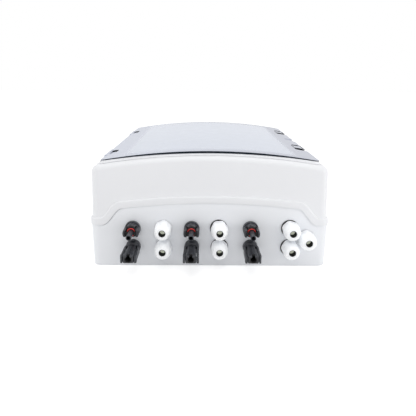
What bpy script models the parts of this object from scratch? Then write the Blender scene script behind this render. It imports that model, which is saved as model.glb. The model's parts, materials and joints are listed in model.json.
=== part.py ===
"""DC combiner box for three solar strings, lying on its back with the cable entries facing -Y.

The origin is the middle of the flat back face. X runs across the box, +Y is its top end on the
wall and +Z points out of the wall, towards the window door.
"""

import math

import bmesh
import bpy
from mathutils import Matrix, Vector

MM = 0.001
GAP = 0.3 * MM  # between pieces that touch
EMBED = 1.2 * MM  # how far a boss or rib is sunk into the wall that carries it

# Enclosure
BOX_WIDTH = 300 * MM  # over the cover's band
BOX_LENGTH = 415 * MM
CROWN_HEIGHT = 145.6 * MM  # from the back face to the crown of the door's rim
WALL = 3.5 * MM
FLOOR = 4 * MM
CORNER_RADIUS = 9 * MM
FOOT_RADIUS = 4 * MM
BASE_DRAFT = 1.0 * MM  # the base wall leans out by this much up to the parting ledge
BASE_INSET = 1.2 * MM  # base wall behind the band's face, at the ledge
COVER_INSET = 2.3 * MM  # cover wall behind the band's face
COVER_DRAFT = 1.3 * MM
ARCH_RADIUS = 777 * MM  # crown of the cover and the door, across X

# Stepped parting line between base and cover
PARTING_LOW = 54 * MM  # along the long sides
PARTING_SHOULDER = 75 * MM  # top of the step
PARTING_CROWN = 82 * MM  # middle of the end walls
STEP_OUTER = 16.5 * MM  # from the band's side face to the foot of the step
STEP_INNER = 39.5 * MM  # and to its top
STEP_LEAN = 0.45  # keeps the band's width even round the step
BAND_HEIGHT = 9 * MM
BAND_WALL = 2.2 * MM
TONGUE_HEIGHT = 5 * MM
GASKET_HEIGHT = 1.6 * MM
GASKET_WIDTH = 1.6 * MM

# Window door
DOOR_INSET_X = 13.6 * MM  # from the band's face to the door's edge
DOOR_INSET_Y = 13 * MM
DOOR_THICKNESS = 2.6 * MM
DOOR_CORNER = 7 * MM
DOOR_GAP = 0.5 * MM
PLINTH_HEIGHT = 2.4 * MM
FIELD_HEIGHT = 0.6 * MM  # raised middle of the door
RECESS_INSET_X = 43 * MM  # from the band's face to the recess under the door
RECESS_INSET_Y = 29.5 * MM
RECESS_CORNER = 6 * MM
RECESS_DEPTH = 33.6 * MM  # from the door's crown to the device panel
PANEL_THICKNESS = 2.5 * MM
SEAL_MARGIN = 2.5 * MM  # from the recess to the door seal
SEAL_WIDTH = 3.5 * MM
SEAL_GROOVE = 2 * MM

# Hinges and latches of the door
HINGE_Y = (-133 * MM, 105 * MM)
HINGE_EAR = 30 * MM
HINGE_BARREL = 10 * MM
HINGE_RADIUS = 2.2 * MM
HINGE_CLEARANCE = 0.8 * MM
HINGE_NOTCH = 14 * MM  # how far the door is cut back round an ear
PIN_RADIUS = 1 * MM
PIN_CLEARANCE = 0.2 * MM
LATCH_Y = (-90 * MM, 104 * MM)  # far wall of each latch's slot
LATCH_SLOT = (14 * MM, 20 * MM)  # depth from the door's edge, and length
LATCH_ROUND = 4 * MM
LATCH_LEVER = 30 * MM  # springy part behind the slot, with the tab under its middle
LATCH_TAB = (2 * MM, 16 * MM, 6 * MM)  # thickness, length and depth
LATCH_TAB_INSET = 13 * MM  # from the door's edge to the middle of the tab
LATCH_POCKET_MARGIN = 2.2 * MM
SCOOP = (14 * MM, 24 * MM)  # finger scoop between the latches: depth from the edge, and length
SCOOP_SUNK = 0.9 * MM

# Cover screws and wall holes
SCREW_INSET = (29 * MM, 47.5 * MM)  # from the band's faces
SCREW_SEAT = 66 * MM
SCREW_SEAT_WALL = 3 * MM
SCREW_HEAD_RADIUS = 4.3 * MM
SCREW_HEAD_HEIGHT = 3.2 * MM
SCREW_SHANK_RADIUS = 2 * MM
SCREW_LENGTH = 20 * MM
SCREW_WELL_RADIUS = 5 * MM
SCREW_TUBE_WALL = 2.4 * MM
PILLAR_RADIUS = 6.5 * MM
WALL_HOLE_INSET = (27 * MM, 19 * MM)
WALL_HOLE_RADIUS = 3.2 * MM

# Device rows: three strings, one breaker and one surge protector each
STRING_PITCH = 70 * MM
ROW_Y = 75 * MM
RAIL_LENGTH = 226 * MM
RAIL_WIDTH = 35 * MM
RAIL_WEB = 27 * MM
RAIL_HEIGHT = 7.5 * MM
RAIL_METAL = 1 * MM
RAIL_PILLAR_INSET = 10 * MM
RAIL_PILLAR_RADIUS = 6 * MM
MODULE = 17.5 * MM
DEVICE_LENGTH = 86 * MM
DEVICE_SHOULDER = 40 * MM  # above the rail
DEVICE_NOSE = 50 * MM
DEVICE_BACK = 5 * MM  # below the rail's lips
DEVICE_CLIP = 2 * MM  # how far a clip reaches under the rail's lip
NOSE_LENGTH = 45 * MM
NOSE_PROUD = 2 * MM  # nose above the cover's panel
WINDOW_CLEARANCE = 0.6 * MM
TERMINAL_RADIUS = 2.9 * MM
TERMINAL_DEPTH = 10 * MM
TERMINAL_HEIGHT = 14 * MM  # above the rail
TOGGLE_HUB = 7 * MM
TOGGLE_DROP = 2 * MM  # hub axis below the nose
TOGGLE_WIDTH = 25 * MM
TOGGLE_LEVER = 12 * MM  # out of the hub
TOGGLE_THICKNESS = 4.4 * MM  # at the hub
TOGGLE_TIP = 3 * MM
TOGGLE_LEAN = math.radians(35)
TOGGLE_CLEARANCE = 0.4 * MM
CARTRIDGE_SEAT = 8 * MM  # floor of a surge protector's well, above the rail
CARTRIDGE_BEVEL = 1 * MM
EARTH_BAR = (10 * MM, 72 * MM, 9 * MM)
EARTH_BAR_INSET = 29 * MM  # from the band's right face
EARTH_BAR_SEAT = 16 * MM
EARTH_POST_PITCH = 48 * MM
EARTH_HOLE_RADIUS = 2.2 * MM
EARTH_HOLES = 6

# Cable entries, in an upper and a lower row
CONNECTOR_INSET = 54 * MM  # from the band's left face to the first pair of connectors
CONNECTOR_UPPER = 50 * MM
CONNECTOR_LOWER = 25.5 * MM
GLAND_INSET = 49 * MM  # from the band's right face to the last pair of glands
GLAND_SHIFT = (1.25 * MM, -2.25 * MM)  # of the other pairs from midway between two connectors
CONNECTOR_TO_GLAND = 50 * MM  # last pair of connectors to last pair of glands
GLAND_UPPER = 50 * MM
GLAND_LOWER = 25.5 * MM
EARTH_GLAND_INSET = 29 * MM
EARTH_GLAND_HEIGHT = 37.8 * MM
ENTRY_SEAT = 0.5 * MM  # between an entry's flange and the sloping wall
ENTRY_CLEARANCE = 0.35 * MM
LOCKNUT_THICKNESS = 4.5 * MM
THREAD_PAST_NUT = 2 * MM

# Cable glands
GLAND_FLATS = 19 * MM
GLAND_FLANGE = 5 * MM
GLAND_THREAD = 7.5 * MM
GLAND_BORE = 4.9 * MM
GLAND_FINGERS = 19 * MM  # neck with the clamping fingers, from the wall
GLAND_NECK = 6.8 * MM
GLAND_LENGTH = 26 * MM
GLAND_NUT_GRIP = 9 * MM
GLAND_MOUTH = 4.3 * MM
GLAND_LIP = 2 * MM  # straight part of the mouth
GLAND_HEADROOM = 1 * MM  # past the fingers
GLAND_TIP = 6.4 * MM
GLAND_DOME = 9.2 * MM

# Panel connectors
CONNECTOR_THREAD = 5.9 * MM
CONNECTOR_FLATS = 17 * MM
CONNECTOR_REAR_BORE = 2.7 * MM
CONNECTOR_REAR_DEPTH = 7 * MM
SOCKET_COLLAR = 9.8 * MM
SOCKET_COLLAR_DEPTH = 6 * MM
SOCKET_BODY = 8.4 * MM
SOCKET_BODY_DEPTH = 18.5 * MM
SOCKET_GUARD = (7.1 * MM, 9.6 * MM)  # inner and outer radius
SOCKET_GUARD_HALF = 4.2 * MM
SOCKET_GUARD_DEPTH = 24.5 * MM
SOCKET_TUBE = 3.2 * MM
SOCKET_TUBE_BORE = 2 * MM
SOCKET_LENGTH = 42 * MM
SOCKET_BORE_DEPTH = 20 * MM
SEAL_RING_WALL = 2.1 * MM
PLUG_COLLAR = 9.3 * MM
PLUG_COLLAR_DEPTH = 8 * MM
PLUG_BODY = (6.7 * MM, 5.2 * MM)  # half width and half height
PLUG_CHAMFER = 2.3 * MM
PLUG_LENGTH = 51 * MM
PLUG_CAVITY = 4 * MM
PLUG_CAVITY_DEPTH = 27 * MM
PLUG_PIN = 1.9 * MM
PLUG_PIN_SHORT = 5 * MM  # pin tip behind the mouth
PLUG_WIDTH = 19.4 * MM  # over the latch arms
PLUG_ARM = 1.7 * MM
PLUG_ARM_HALF = 3.5 * MM
PLUG_ARM_ROOT = 11 * MM
PLUG_BARB = 8 * MM  # length of the hook at an arm's end
PLUG_HOOK = 0.6 * MM  # how far the hook stands out
PLUG_THUMB = 0.4 * MM  # swelling of the arm's inner face
PLUG_RAMP = 2.7 * MM

# String wires
WIRE_RADIUS = 2.25 * MM
WIRE_STRAIGHT = 8 * MM  # at each end
WIRE_POINTS = 7

# Facets
ARCH_STEP = 27 * MM
CORNER_STEPS = 3
ROUND_STEPS = 12
HOLE_STEPS = 16
SMALL_STEPS = 8
STEP_STATIONS = 6
CROWN_STATIONS = 4
DOME_STEPS = 3

# Sizes that follow
BAND_HALF = (BOX_WIDTH / 2, BOX_LENGTH / 2)
DOOR_HALF = (BAND_HALF[0] - DOOR_INSET_X, BAND_HALF[1] - DOOR_INSET_Y)
RECESS_HALF = (BAND_HALF[0] - RECESS_INSET_X, BAND_HALF[1] - RECESS_INSET_Y)
DOOR_BOTTOM = CROWN_HEIGHT - DOOR_THICKNESS
PLINTH_CROWN = DOOR_BOTTOM - DOOR_GAP
COVER_CROWN = PLINTH_CROWN - PLINTH_HEIGHT
WALL_LIFT = TONGUE_HEIGHT + GAP + GASKET_HEIGHT + GAP  # foot of the cover wall above the parting
PANEL_TOP = CROWN_HEIGHT - RECESS_DEPTH
RAIL_TOP = PANEL_TOP + NOSE_PROUD - DEVICE_NOSE
RAIL_SEAT = RAIL_TOP - RAIL_HEIGHT
DEVICE_WIDTH = 2 * MODULE - 2 * GAP
STRING_X = [(index - 1) * STRING_PITCH for index in range(3)]
FIRST_CONNECTOR = CONNECTOR_INSET - BAND_HALF[0]
LAST_GLAND = BAND_HALF[0] - GLAND_INSET
CONNECTOR_PITCH = (LAST_GLAND - CONNECTOR_TO_GLAND - FIRST_CONNECTOR) / 2
CONNECTOR_X = [FIRST_CONNECTOR + index * CONNECTOR_PITCH for index in range(3)]
GLAND_X = [x + CONNECTOR_PITCH / 2 + shift for x, shift in zip(CONNECTOR_X, GLAND_SHIFT)] + [LAST_GLAND]
EARTH_GLAND = (BAND_HALF[0] - EARTH_GLAND_INSET, EARTH_GLAND_HEIGHT)
EARTH_BAR_X = BAND_HALF[0] - EARTH_BAR_INSET
INSIDE_DEPTH = WALL + ENTRY_SEAT + LOCKNUT_THICKNESS + THREAD_PAST_NUT
SMOOTH_ANGLE = math.radians(32)
WELD = 1e-6
UNIT_SLACK = 0.001  # to tell the end faces of a box of half size 1


def arch_drop(x):
    """How far the crowned surfaces fall from their crown at x."""
    return ARCH_RADIUS - math.sqrt(ARCH_RADIUS**2 - x**2)


HINGE_X = -(DOOR_HALF[0] - DOOR_THICKNESS / 2)
HINGE_Z = CROWN_HEIGHT - DOOR_THICKNESS / 2 - arch_drop(HINGE_X)


def inset(half, margin):
    return (half[0] - margin, half[1] - margin)


def corners(spots):
    """The four mirror images of a spot."""
    return [(x * spots[0], y * spots[1]) for x in (-1, 1) for y in (-1, 1)]


def new_collection(name):
    collection = bpy.data.collections.new(name)
    bpy.context.scene.collection.children.link(collection)
    return collection


for old in list(bpy.data.objects):
    bpy.data.objects.remove(old)
PARTS = new_collection("dc_combiner_box")


# Materials


def material(name, colour, roughness, metallic=0.0):
    made = bpy.data.materials.new(name)
    made.use_nodes = True
    shader = made.node_tree.nodes["Principled BSDF"]
    shader.inputs["Base Color"].default_value = (*colour, 1)
    shader.inputs["Roughness"].default_value = roughness
    shader.inputs["Metallic"].default_value = metallic
    return made


SHELL_GREY = material("shell_grey", (0.78, 0.79, 0.81), 0.38)
SMOKED_CLEAR = material("smoked_clear", (0.30, 0.36, 0.42), 0.08)
GLAND_WHITE = material("gland_white", (0.82, 0.83, 0.85), 0.42)
CONNECTOR_BLACK = material("connector_black", (0.03, 0.03, 0.035), 0.5)
SEAL_BLACK = material("seal_black", (0.02, 0.02, 0.02), 0.8)
SEAL_RED = material("seal_red", (0.66, 0.05, 0.04), 0.6)
DEVICE_WHITE = material("device_white", (0.76, 0.77, 0.77), 0.45)
TOGGLE_BLACK = material("toggle_black", (0.025, 0.025, 0.03), 0.4)
CARTRIDGE_GREY = material("cartridge_grey", (0.16, 0.17, 0.18), 0.5)
ZINC_STEEL = material("zinc_steel", (0.62, 0.63, 0.64), 0.35, 1.0)
BRASS = material("brass", (0.72, 0.55, 0.24), 0.35, 1.0)
WIRE_RED = material("wire_red", (0.45, 0.03, 0.03), 0.5)
WIRE_BLACK = material("wire_black", (0.02, 0.02, 0.022), 0.5)


def finish(obj, finish_material, name=None):
    """Names the object, gives it its material and smooths its round faces."""
    if name:
        obj.name = name
    obj.data.materials.clear()
    obj.data.materials.append(finish_material)
    obj.data.shade_smooth()
    obj.data.set_sharp_from_angle(angle=SMOOTH_ANGLE)
    return obj


# Shape helpers


def mesh_object(name, bm):
    bmesh.ops.recalc_face_normals(bm, faces=bm.faces)
    mesh = bpy.data.meshes.new(name)
    bm.to_mesh(mesh)
    bm.free()
    obj = bpy.data.objects.new(name, mesh)
    PARTS.objects.link(obj)
    return obj


def evaluated_mesh(obj):
    bpy.context.view_layer.update()
    graph = bpy.context.evaluated_depsgraph_get()
    return bpy.data.meshes.new_from_object(obj.evaluated_get(graph))


def boolean(target, tool, operation):
    """Joins the tool to the target, cuts it away or keeps what both share; the tool is used up."""
    modifier = target.modifiers.new(operation.lower(), "BOOLEAN")
    modifier.operation = operation
    modifier.object = tool
    modifier.solver = "EXACT"
    target.data = evaluated_mesh(target)
    target.modifiers.clear()
    bpy.data.objects.remove(tool)
    return target


def join(target, *tools):
    for tool in tools:
        boolean(target, tool, "UNION")
    return target


def cut(target, *tools):
    for tool in tools:
        boolean(target, tool, "DIFFERENCE")
    return target


def common(target, tool):
    return boolean(target, tool, "INTERSECT")


def round_edges(bm, edges, radius, steps=CORNER_STEPS):
    bmesh.ops.bevel(
        bm, geom=edges, offset=radius, segments=steps, profile=0.5, affect="EDGES", clamp_overlap=True
    )


def block(low, high, radius=0.0, steps=2):
    """A box between two corners, with all its edges rounded if a radius is given."""
    bm = bmesh.new()
    bmesh.ops.create_cube(bm, size=1)
    low, high = Vector(low), Vector(high)
    for vert in bm.verts:
        vert.co = (low + high) / 2 + vert.co * (high - low)
    if radius:
        round_edges(bm, list(bm.edges), radius, steps)
    return mesh_object("block", bm)


def drafted_box(low, high, bottom, top, corner, foot=0.0):
    """A box whose half sizes go from bottom to top, with round upright corners and bottom edge."""
    bm = bmesh.new()
    bmesh.ops.create_cube(bm, size=2)
    upright = [edge for edge in bm.edges if edge.verts[0].co.z != edge.verts[1].co.z]
    for vert in bm.verts:
        half, height = (top, high) if vert.co.z > 0 else (bottom, low)
        vert.co = (vert.co.x * half[0], vert.co.y * half[1], height)
    round_edges(bm, upright, corner)
    if foot:
        middle = (low + high) / 2
        rim = [edge for edge in bm.edges if all(vert.co.z < middle for vert in edge.verts)]
        round_edges(bm, rim, foot, steps=3)
    return mesh_object("drafted_box", bm)


def arch_stations(half):
    """Where the facets of a crowned surface meet: the same places on every one of them."""
    count = math.ceil(half / ARCH_STEP) - 1
    return [-half] + [index * ARCH_STEP for index in range(-count, count + 1)] + [half]


def arch_block(low, crown, bottom, top, corner, round_rim=False, arched_low=False):
    """A box with a crowned top, and a crowned underside where arched_low is set."""
    bm = bmesh.new()
    bmesh.ops.create_cube(bm, size=2)
    across = [edge for edge in bm.edges if edge.verts[0].co.x != edge.verts[1].co.x]
    spans = len(arch_stations(top[0])) - 1
    bmesh.ops.subdivide_edges(bm, edges=across, cuts=spans - 1, use_grid_fill=True)
    edges = []
    for edge in bm.edges:
        one, other = (vert.co for vert in edge.verts)
        upright = one.z != other.z and abs(one.x + other.x) > 2 - UNIT_SLACK
        rim = one.z > 0 and other.z > 0 and (one.y == other.y or abs(one.x + other.x) > 2 - UNIT_SLACK)
        if upright or (rim and round_rim):
            edges.append(edge)
    for vert in bm.verts:
        upper = vert.co.z > 0
        half = top if upper else bottom
        x = arch_stations(half[0])[round((vert.co.x + 1) / 2 * spans)]
        drop = arch_drop(x) if upper or arched_low else 0
        vert.co = (x, vert.co.y * half[1], (crown if upper else low) - drop)
    round_edges(bm, edges, corner)
    return mesh_object("arch_block", bm)


def cylinder(start, end, radius, steps=ROUND_STEPS, end_radius=None):
    """A cylinder, or a cone with its own end radius, between two points."""
    start, end = Vector(start), Vector(end)
    axis = end - start
    turn = axis.to_track_quat("Z", "Y").to_matrix().to_4x4()
    bm = bmesh.new()
    bmesh.ops.create_cone(
        bm,
        cap_ends=True,
        segments=steps,
        radius1=radius,
        radius2=radius if end_radius is None else end_radius,
        depth=axis.length,
        matrix=Matrix.Translation((start + end) / 2) @ turn,
    )
    return mesh_object("cylinder", bm)


def shaft(low, high, radius, steps=ROUND_STEPS, end_radius=None):
    """A cylinder along the local Z axis."""
    return cylinder((0, 0, low), (0, 0, high), radius, steps, end_radius)


def hexagon(low, high, flats):
    return shaft(low, high, flats / 2 / math.cos(math.pi / 6), steps=6)


def turned(profile, steps=ROUND_STEPS):
    """A profile of (radius, height) points, from the top down, turned about the local Z axis."""
    mesh = bpy.data.meshes.new("profile")
    points = [(radius, 0, height) for radius, height in profile]
    closed = profile[0][0] > 0 or profile[-1][0] > 0
    links = [(index, index + 1) for index in range(len(points) - 1)]
    if closed:
        links.append((len(points) - 1, 0))
    mesh.from_pydata(points, links, [])
    guide = bpy.data.objects.new("profile", mesh)
    PARTS.objects.link(guide)
    screw = guide.modifiers.new("turn", "SCREW")
    screw.axis = "Z"
    screw.angle = 2 * math.pi
    screw.steps = steps
    screw.render_steps = steps
    screw.use_merge_vertices = True
    screw.merge_threshold = WELD
    bm = bmesh.new()
    bm.from_mesh(evaluated_mesh(guide))
    bpy.data.objects.remove(guide)
    bmesh.ops.remove_doubles(bm, verts=bm.verts, dist=WELD)
    return mesh_object("turned", bm)


def extruded(outline, start, end, axis):
    """A flat outline drawn out along X, as (y, z) points, or along Y, as (x, z) points."""
    curve = bpy.data.curves.new("outline", "CURVE")
    curve.dimensions = "2D"
    curve.fill_mode = "BOTH"
    curve.extrude = (end - start) / 2
    spline = curve.splines.new("POLY")
    spline.points.add(len(outline) - 1)
    for point, (u, v) in zip(spline.points, outline):
        point.co = (u, v, 0, 1)
    spline.use_cyclic_u = True
    guide = bpy.data.objects.new("outline", curve)
    PARTS.objects.link(guide)
    bm = bmesh.new()
    bm.from_mesh(evaluated_mesh(guide))
    bpy.data.objects.remove(guide)
    bmesh.ops.remove_doubles(bm, verts=bm.verts, dist=WELD / 10)
    middle = (start + end) / 2
    for vert in bm.verts:
        u, v, w = vert.co
        vert.co = (w + middle, u, v) if axis == "X" else (u, middle - w, v)
    return mesh_object("extruded", bm)


def set_origin(obj, point):
    """Moves the object's origin to a point without moving its shape."""
    obj.data.transform(Matrix.Translation(-Vector(point)))
    obj.location = point
    return obj


def place(obj, name, location, rotation=(0, 0, 0)):
    """A copy of a piece that shares its mesh."""
    copy = bpy.data.objects.new(name, obj.data)
    copy.location = location
    copy.rotation_euler = rotation
    PARTS.objects.link(copy)
    return copy


# Parting line


def edge_height(x, lift):
    """Height of the parting line at x, lifted square to itself."""
    foot = BAND_HALF[0] - STEP_OUTER + STEP_LEAN * lift
    top = BAND_HALF[0] - STEP_INNER + STEP_LEAN * lift
    arch = PARTING_CROWN - (PARTING_CROWN - PARTING_SHOULDER) * (x / top) ** 2
    run = min(max((foot - abs(x)) / (foot - top), 0), 1)
    rise = run * run * (3 - 2 * run)
    return PARTING_LOW + lift + (arch - PARTING_LOW) * rise


def parting_line(lift):
    """The lifted parting line across the box, as (x, z) points from left to right."""
    foot = BAND_HALF[0] - STEP_OUTER + STEP_LEAN * lift
    top = BAND_HALF[0] - STEP_INNER + STEP_LEAN * lift
    reach = BAND_HALF[0] + WALL
    right = [top * index / CROWN_STATIONS for index in range(CROWN_STATIONS)]
    right += [top + (foot - top) * index / STEP_STATIONS for index in range(STEP_STATIONS + 1)]
    right.append(reach)
    stations = [-x for x in reversed(right[1:])] + right
    return [(x, edge_height(x, lift)) for x in stations]


def above_parting(lift):
    ceiling = CROWN_HEIGHT + WALL
    line = parting_line(lift)
    outline = line + [(line[-1][0], ceiling), (line[0][0], ceiling)]
    return extruded(outline, -BOX_LENGTH, BOX_LENGTH, "Y")


def below_parting(lift):
    line = parting_line(lift)
    outline = line + [(line[-1][0], -WALL), (line[0][0], -WALL)]
    return extruded(outline, -BOX_LENGTH, BOX_LENGTH, "Y")


def between_parting(low_lift, high_lift):
    outline = parting_line(low_lift) + parting_line(high_lift)[::-1]
    return extruded(outline, -BOX_LENGTH, BOX_LENGTH, "Y")


# Base


BASE_TOP = PARTING_CROWN + BAND_HEIGHT
BASE_LEDGE_HALF = inset(BAND_HALF, BASE_INSET)
BASE_FOOT_HALF = inset(BASE_LEDGE_HALF, BASE_DRAFT)
TONGUE_HALF = inset(BAND_HALF, BAND_WALL + GAP)


def base_half(z):
    """Half sizes of the base's outer wall at a height."""
    lean = BASE_DRAFT * z / PARTING_LOW
    return (BASE_FOOT_HALF[0] + lean, BASE_FOOT_HALF[1] + lean)


def entry_wall(z):
    """Y of the outer face of the entry wall."""
    return -base_half(z)[1]


def entry_spots():
    """Each cable entry as (x, z, hole radius)."""
    connector = CONNECTOR_THREAD + ENTRY_CLEARANCE
    gland = GLAND_THREAD + ENTRY_CLEARANCE
    spots = [(x, z, connector) for x in CONNECTOR_X for z in (CONNECTOR_UPPER, CONNECTOR_LOWER)]
    return spots + [(x, z, gland) for x, z in gland_spots()]


def gland_spots():
    return [(x, z) for x in GLAND_X for z in (GLAND_UPPER, GLAND_LOWER)] + [EARTH_GLAND]


SCREW_SPOTS = corners((BAND_HALF[0] - SCREW_INSET[0], BAND_HALF[1] - SCREW_INSET[1]))
PILLAR_TOP = SCREW_SEAT - SCREW_SEAT_WALL - GAP


def make_base():
    base = drafted_box(0, BASE_TOP, BASE_FOOT_HALF, base_half(BASE_TOP), CORNER_RADIUS, FOOT_RADIUS)
    cut(base, above_parting(-GAP))
    tongue = drafted_box(FLOOR, BASE_TOP, TONGUE_HALF, TONGUE_HALF, CORNER_RADIUS)
    cut(tongue, above_parting(TONGUE_HEIGHT))
    join(base, tongue)
    ceiling = BASE_TOP + WALL
    hollow_foot = inset(base_half(FLOOR), WALL)
    hollow_top = inset(base_half(ceiling), WALL)
    cut(base, drafted_box(FLOOR, ceiling, hollow_foot, hollow_top, CORNER_RADIUS - WALL))
    floor = FLOOR - EMBED
    for x, y in SCREW_SPOTS:
        join(base, cylinder((x, y, floor), (x, y, PILLAR_TOP), PILLAR_RADIUS))
        pilot = SCREW_SHANK_RADIUS + GAP
        cut(base, cylinder((x, y, SCREW_SEAT - SCREW_LENGTH - GAP), (x, y, SCREW_SEAT), pilot, SMALL_STEPS))
    for x, y in corners((RAIL_LENGTH / 2 - RAIL_PILLAR_INSET, ROW_Y)):
        join(base, cylinder((x, y, floor), (x, y, RAIL_SEAT - GAP), RAIL_PILLAR_RADIUS))
    for side in (-1, 1):
        y = side * EARTH_POST_PITCH / 2
        seat = (EARTH_BAR_X, y, EARTH_BAR_SEAT - GAP)
        join(base, cylinder((EARTH_BAR_X, y, floor), seat, EARTH_BAR[0] / 2, SMALL_STEPS))
    for x, y in corners((BAND_HALF[0] - WALL_HOLE_INSET[0], BAND_HALF[1] - WALL_HOLE_INSET[1])):
        cut(base, cylinder((x, y, -FLOOR), (x, y, 2 * FLOOR), WALL_HOLE_RADIUS))
    for x, z, radius in entry_spots():
        outside = entry_wall(z) - WALL
        cut(base, cylinder((x, outside, z), (x, outside + 3 * WALL, z), radius))
    return finish(base, SHELL_GREY, "base_shell")


# Cover


def make_cover():
    foot_half = inset(BAND_HALF, COVER_INSET)
    top_half = inset(foot_half, COVER_DRAFT)
    cover = arch_block(PARTING_LOW / 2, COVER_CROWN, foot_half, top_half, CORNER_RADIUS, round_rim=True)
    cut(cover, below_parting(BAND_HEIGHT / 2))
    band_corner = CORNER_RADIUS + COVER_INSET
    band = drafted_box(PARTING_LOW / 2, CROWN_HEIGHT, BAND_HALF, BAND_HALF, band_corner)
    join(cover, common(band, between_parting(0, BAND_HEIGHT)))
    rebate_half = inset(BAND_HALF, BAND_WALL)
    rebate = drafted_box(0, CROWN_HEIGHT, rebate_half, rebate_half, CORNER_RADIUS)
    cut(cover, common(rebate, below_parting(WALL_LIFT)))
    hollow_corner = CORNER_RADIUS - WALL
    hollow = arch_block(
        0, COVER_CROWN - WALL, inset(foot_half, WALL), inset(top_half, WALL), hollow_corner, round_rim=True
    )
    cut(cover, hollow)
    add_plinth_and_recess(cover)
    add_screw_wells(cover)
    add_hinge_seats(cover)
    add_latch_pockets(cover)
    return finish(cover, SHELL_GREY, "cover_shell")


def add_plinth_and_recess(cover):
    """The raised seat under the door, the recess inside it, its panel and the device windows."""
    plinth = arch_block(
        COVER_CROWN - EMBED, PLINTH_CROWN, DOOR_HALF, DOOR_HALF, DOOR_CORNER, arched_low=True
    )
    tub_half = inset(RECESS_HALF, -PANEL_THICKNESS)
    tub_corner = RECESS_CORNER + PANEL_THICKNESS
    tub = arch_block(PANEL_TOP - PANEL_THICKNESS, COVER_CROWN - EMBED, tub_half, tub_half, tub_corner)
    join(cover, plinth, tub)
    ceiling = CROWN_HEIGHT + WALL
    cut(cover, drafted_box(PANEL_TOP, ceiling, RECESS_HALF, RECESS_HALF, RECESS_CORNER))
    half_x = DEVICE_WIDTH / 2 + WINDOW_CLEARANCE
    half_y = NOSE_LENGTH / 2 + WINDOW_CLEARANCE
    for x in STRING_X:
        for y in (-ROW_Y, ROW_Y):
            low = (x - half_x, y - half_y, PANEL_TOP - 2 * PANEL_THICKNESS)
            cut(cover, block(low, (x + half_x, y + half_y, PANEL_TOP + PANEL_THICKNESS)))
    cut(cover, seal_ring(PLINTH_CROWN - SEAL_GROOVE, ceiling, 0))


def seal_ring(low, crown, clearance):
    """The loop of the door's seal, smaller than its groove by the clearance all round."""
    inner = inset(RECESS_HALF, -SEAL_MARGIN - clearance)
    outer = inset(RECESS_HALF, -SEAL_MARGIN - SEAL_WIDTH + clearance)
    ring = arch_block(low, crown, outer, outer, RECESS_CORNER + SEAL_WIDTH, arched_low=True)
    core = arch_block(low - WALL, crown + WALL, inner, inner, RECESS_CORNER, arched_low=True)
    return cut(ring, core)


def add_screw_wells(cover):
    for x, y in SCREW_SPOTS:
        skin = COVER_CROWN - arch_drop(x) - EMBED
        seat = SCREW_SEAT - SCREW_SEAT_WALL
        tube = SCREW_WELL_RADIUS + SCREW_TUBE_WALL
        join(cover, cylinder((x, y, seat), (x, y, skin), tube))
        cut(cover, cylinder((x, y, SCREW_SEAT), (x, y, CROWN_HEIGHT), SCREW_WELL_RADIUS))
        shank = SCREW_SHANK_RADIUS + GAP
        cut(cover, cylinder((x, y, seat - WALL), (x, y, SCREW_SEAT + WALL), shank, SMALL_STEPS))


def add_hinge_seats(cover):
    """Two ears that carry the hinge pins, in hollows that let the door's barrels turn."""
    half_length = HINGE_EAR / 2 + GAP + HINGE_BARREL + HINGE_CLEARANCE
    floor = HINGE_Z - HINGE_RADIUS - HINGE_CLEARANCE
    outer = -BAND_HALF[0]
    inner = HINGE_X + HINGE_RADIUS + 2 * HINGE_CLEARANCE
    for y in HINGE_Y:
        cut(cover, block((outer, y - half_length, floor), (inner, y + half_length, CROWN_HEIGHT)))
        half_ear = HINGE_EAR / 2
        ear = block(
            (HINGE_X - HINGE_RADIUS, y - half_ear, floor - EMBED),
            (HINGE_X + HINGE_RADIUS, y + half_ear, HINGE_Z),
        )
        join(ear, cylinder((HINGE_X, y - half_ear, HINGE_Z), (HINGE_X, y + half_ear, HINGE_Z), HINGE_RADIUS))
        join(cover, ear)
        cut(cover, pin_bore(y, half_ear + GAP))


def pin_bore(y, half_length):
    radius = PIN_RADIUS + PIN_CLEARANCE
    return cylinder((HINGE_X, y - half_length, HINGE_Z), (HINGE_X, y + half_length, HINGE_Z), radius)


def latch_pocket(slot_y, margin, floor, ceiling):
    """A box round the tab under a latch's lever, larger than the tab by the margin."""
    x = DOOR_HALF[0] - LATCH_TAB_INSET
    y = slot_y + LATCH_LEVER / 2
    half_x = LATCH_TAB[0] / 2 + margin
    half_y = LATCH_TAB[1] / 2 + margin
    return block((x - half_x, y - half_y, floor), (x + half_x, y + half_y, ceiling))


def latch_floor():
    x = DOOR_HALF[0] - LATCH_TAB_INSET
    return DOOR_BOTTOM - arch_drop(x) - LATCH_TAB[2] - LATCH_POCKET_MARGIN


def add_latch_pockets(cover):
    skin = COVER_CROWN - arch_drop(DOOR_HALF[0]) - EMBED
    floor = latch_floor()
    for y in LATCH_Y:
        join(cover, latch_pocket(y, LATCH_POCKET_MARGIN + PANEL_THICKNESS, floor - PANEL_THICKNESS, skin))
        cut(cover, latch_pocket(y, LATCH_POCKET_MARGIN, floor, CROWN_HEIGHT))


def make_cover_gasket():
    inner = inset(TONGUE_HALF, GASKET_WIDTH)
    ring = drafted_box(0, CROWN_HEIGHT, TONGUE_HALF, TONGUE_HALF, CORNER_RADIUS)
    cut(ring, drafted_box(-WALL, CROWN_HEIGHT + WALL, inner, inner, CORNER_RADIUS - GASKET_WIDTH))
    foot = TONGUE_HEIGHT + GAP
    common(ring, between_parting(foot, foot + GASKET_HEIGHT))
    return finish(ring, SEAL_BLACK, "cover_gasket")


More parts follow.
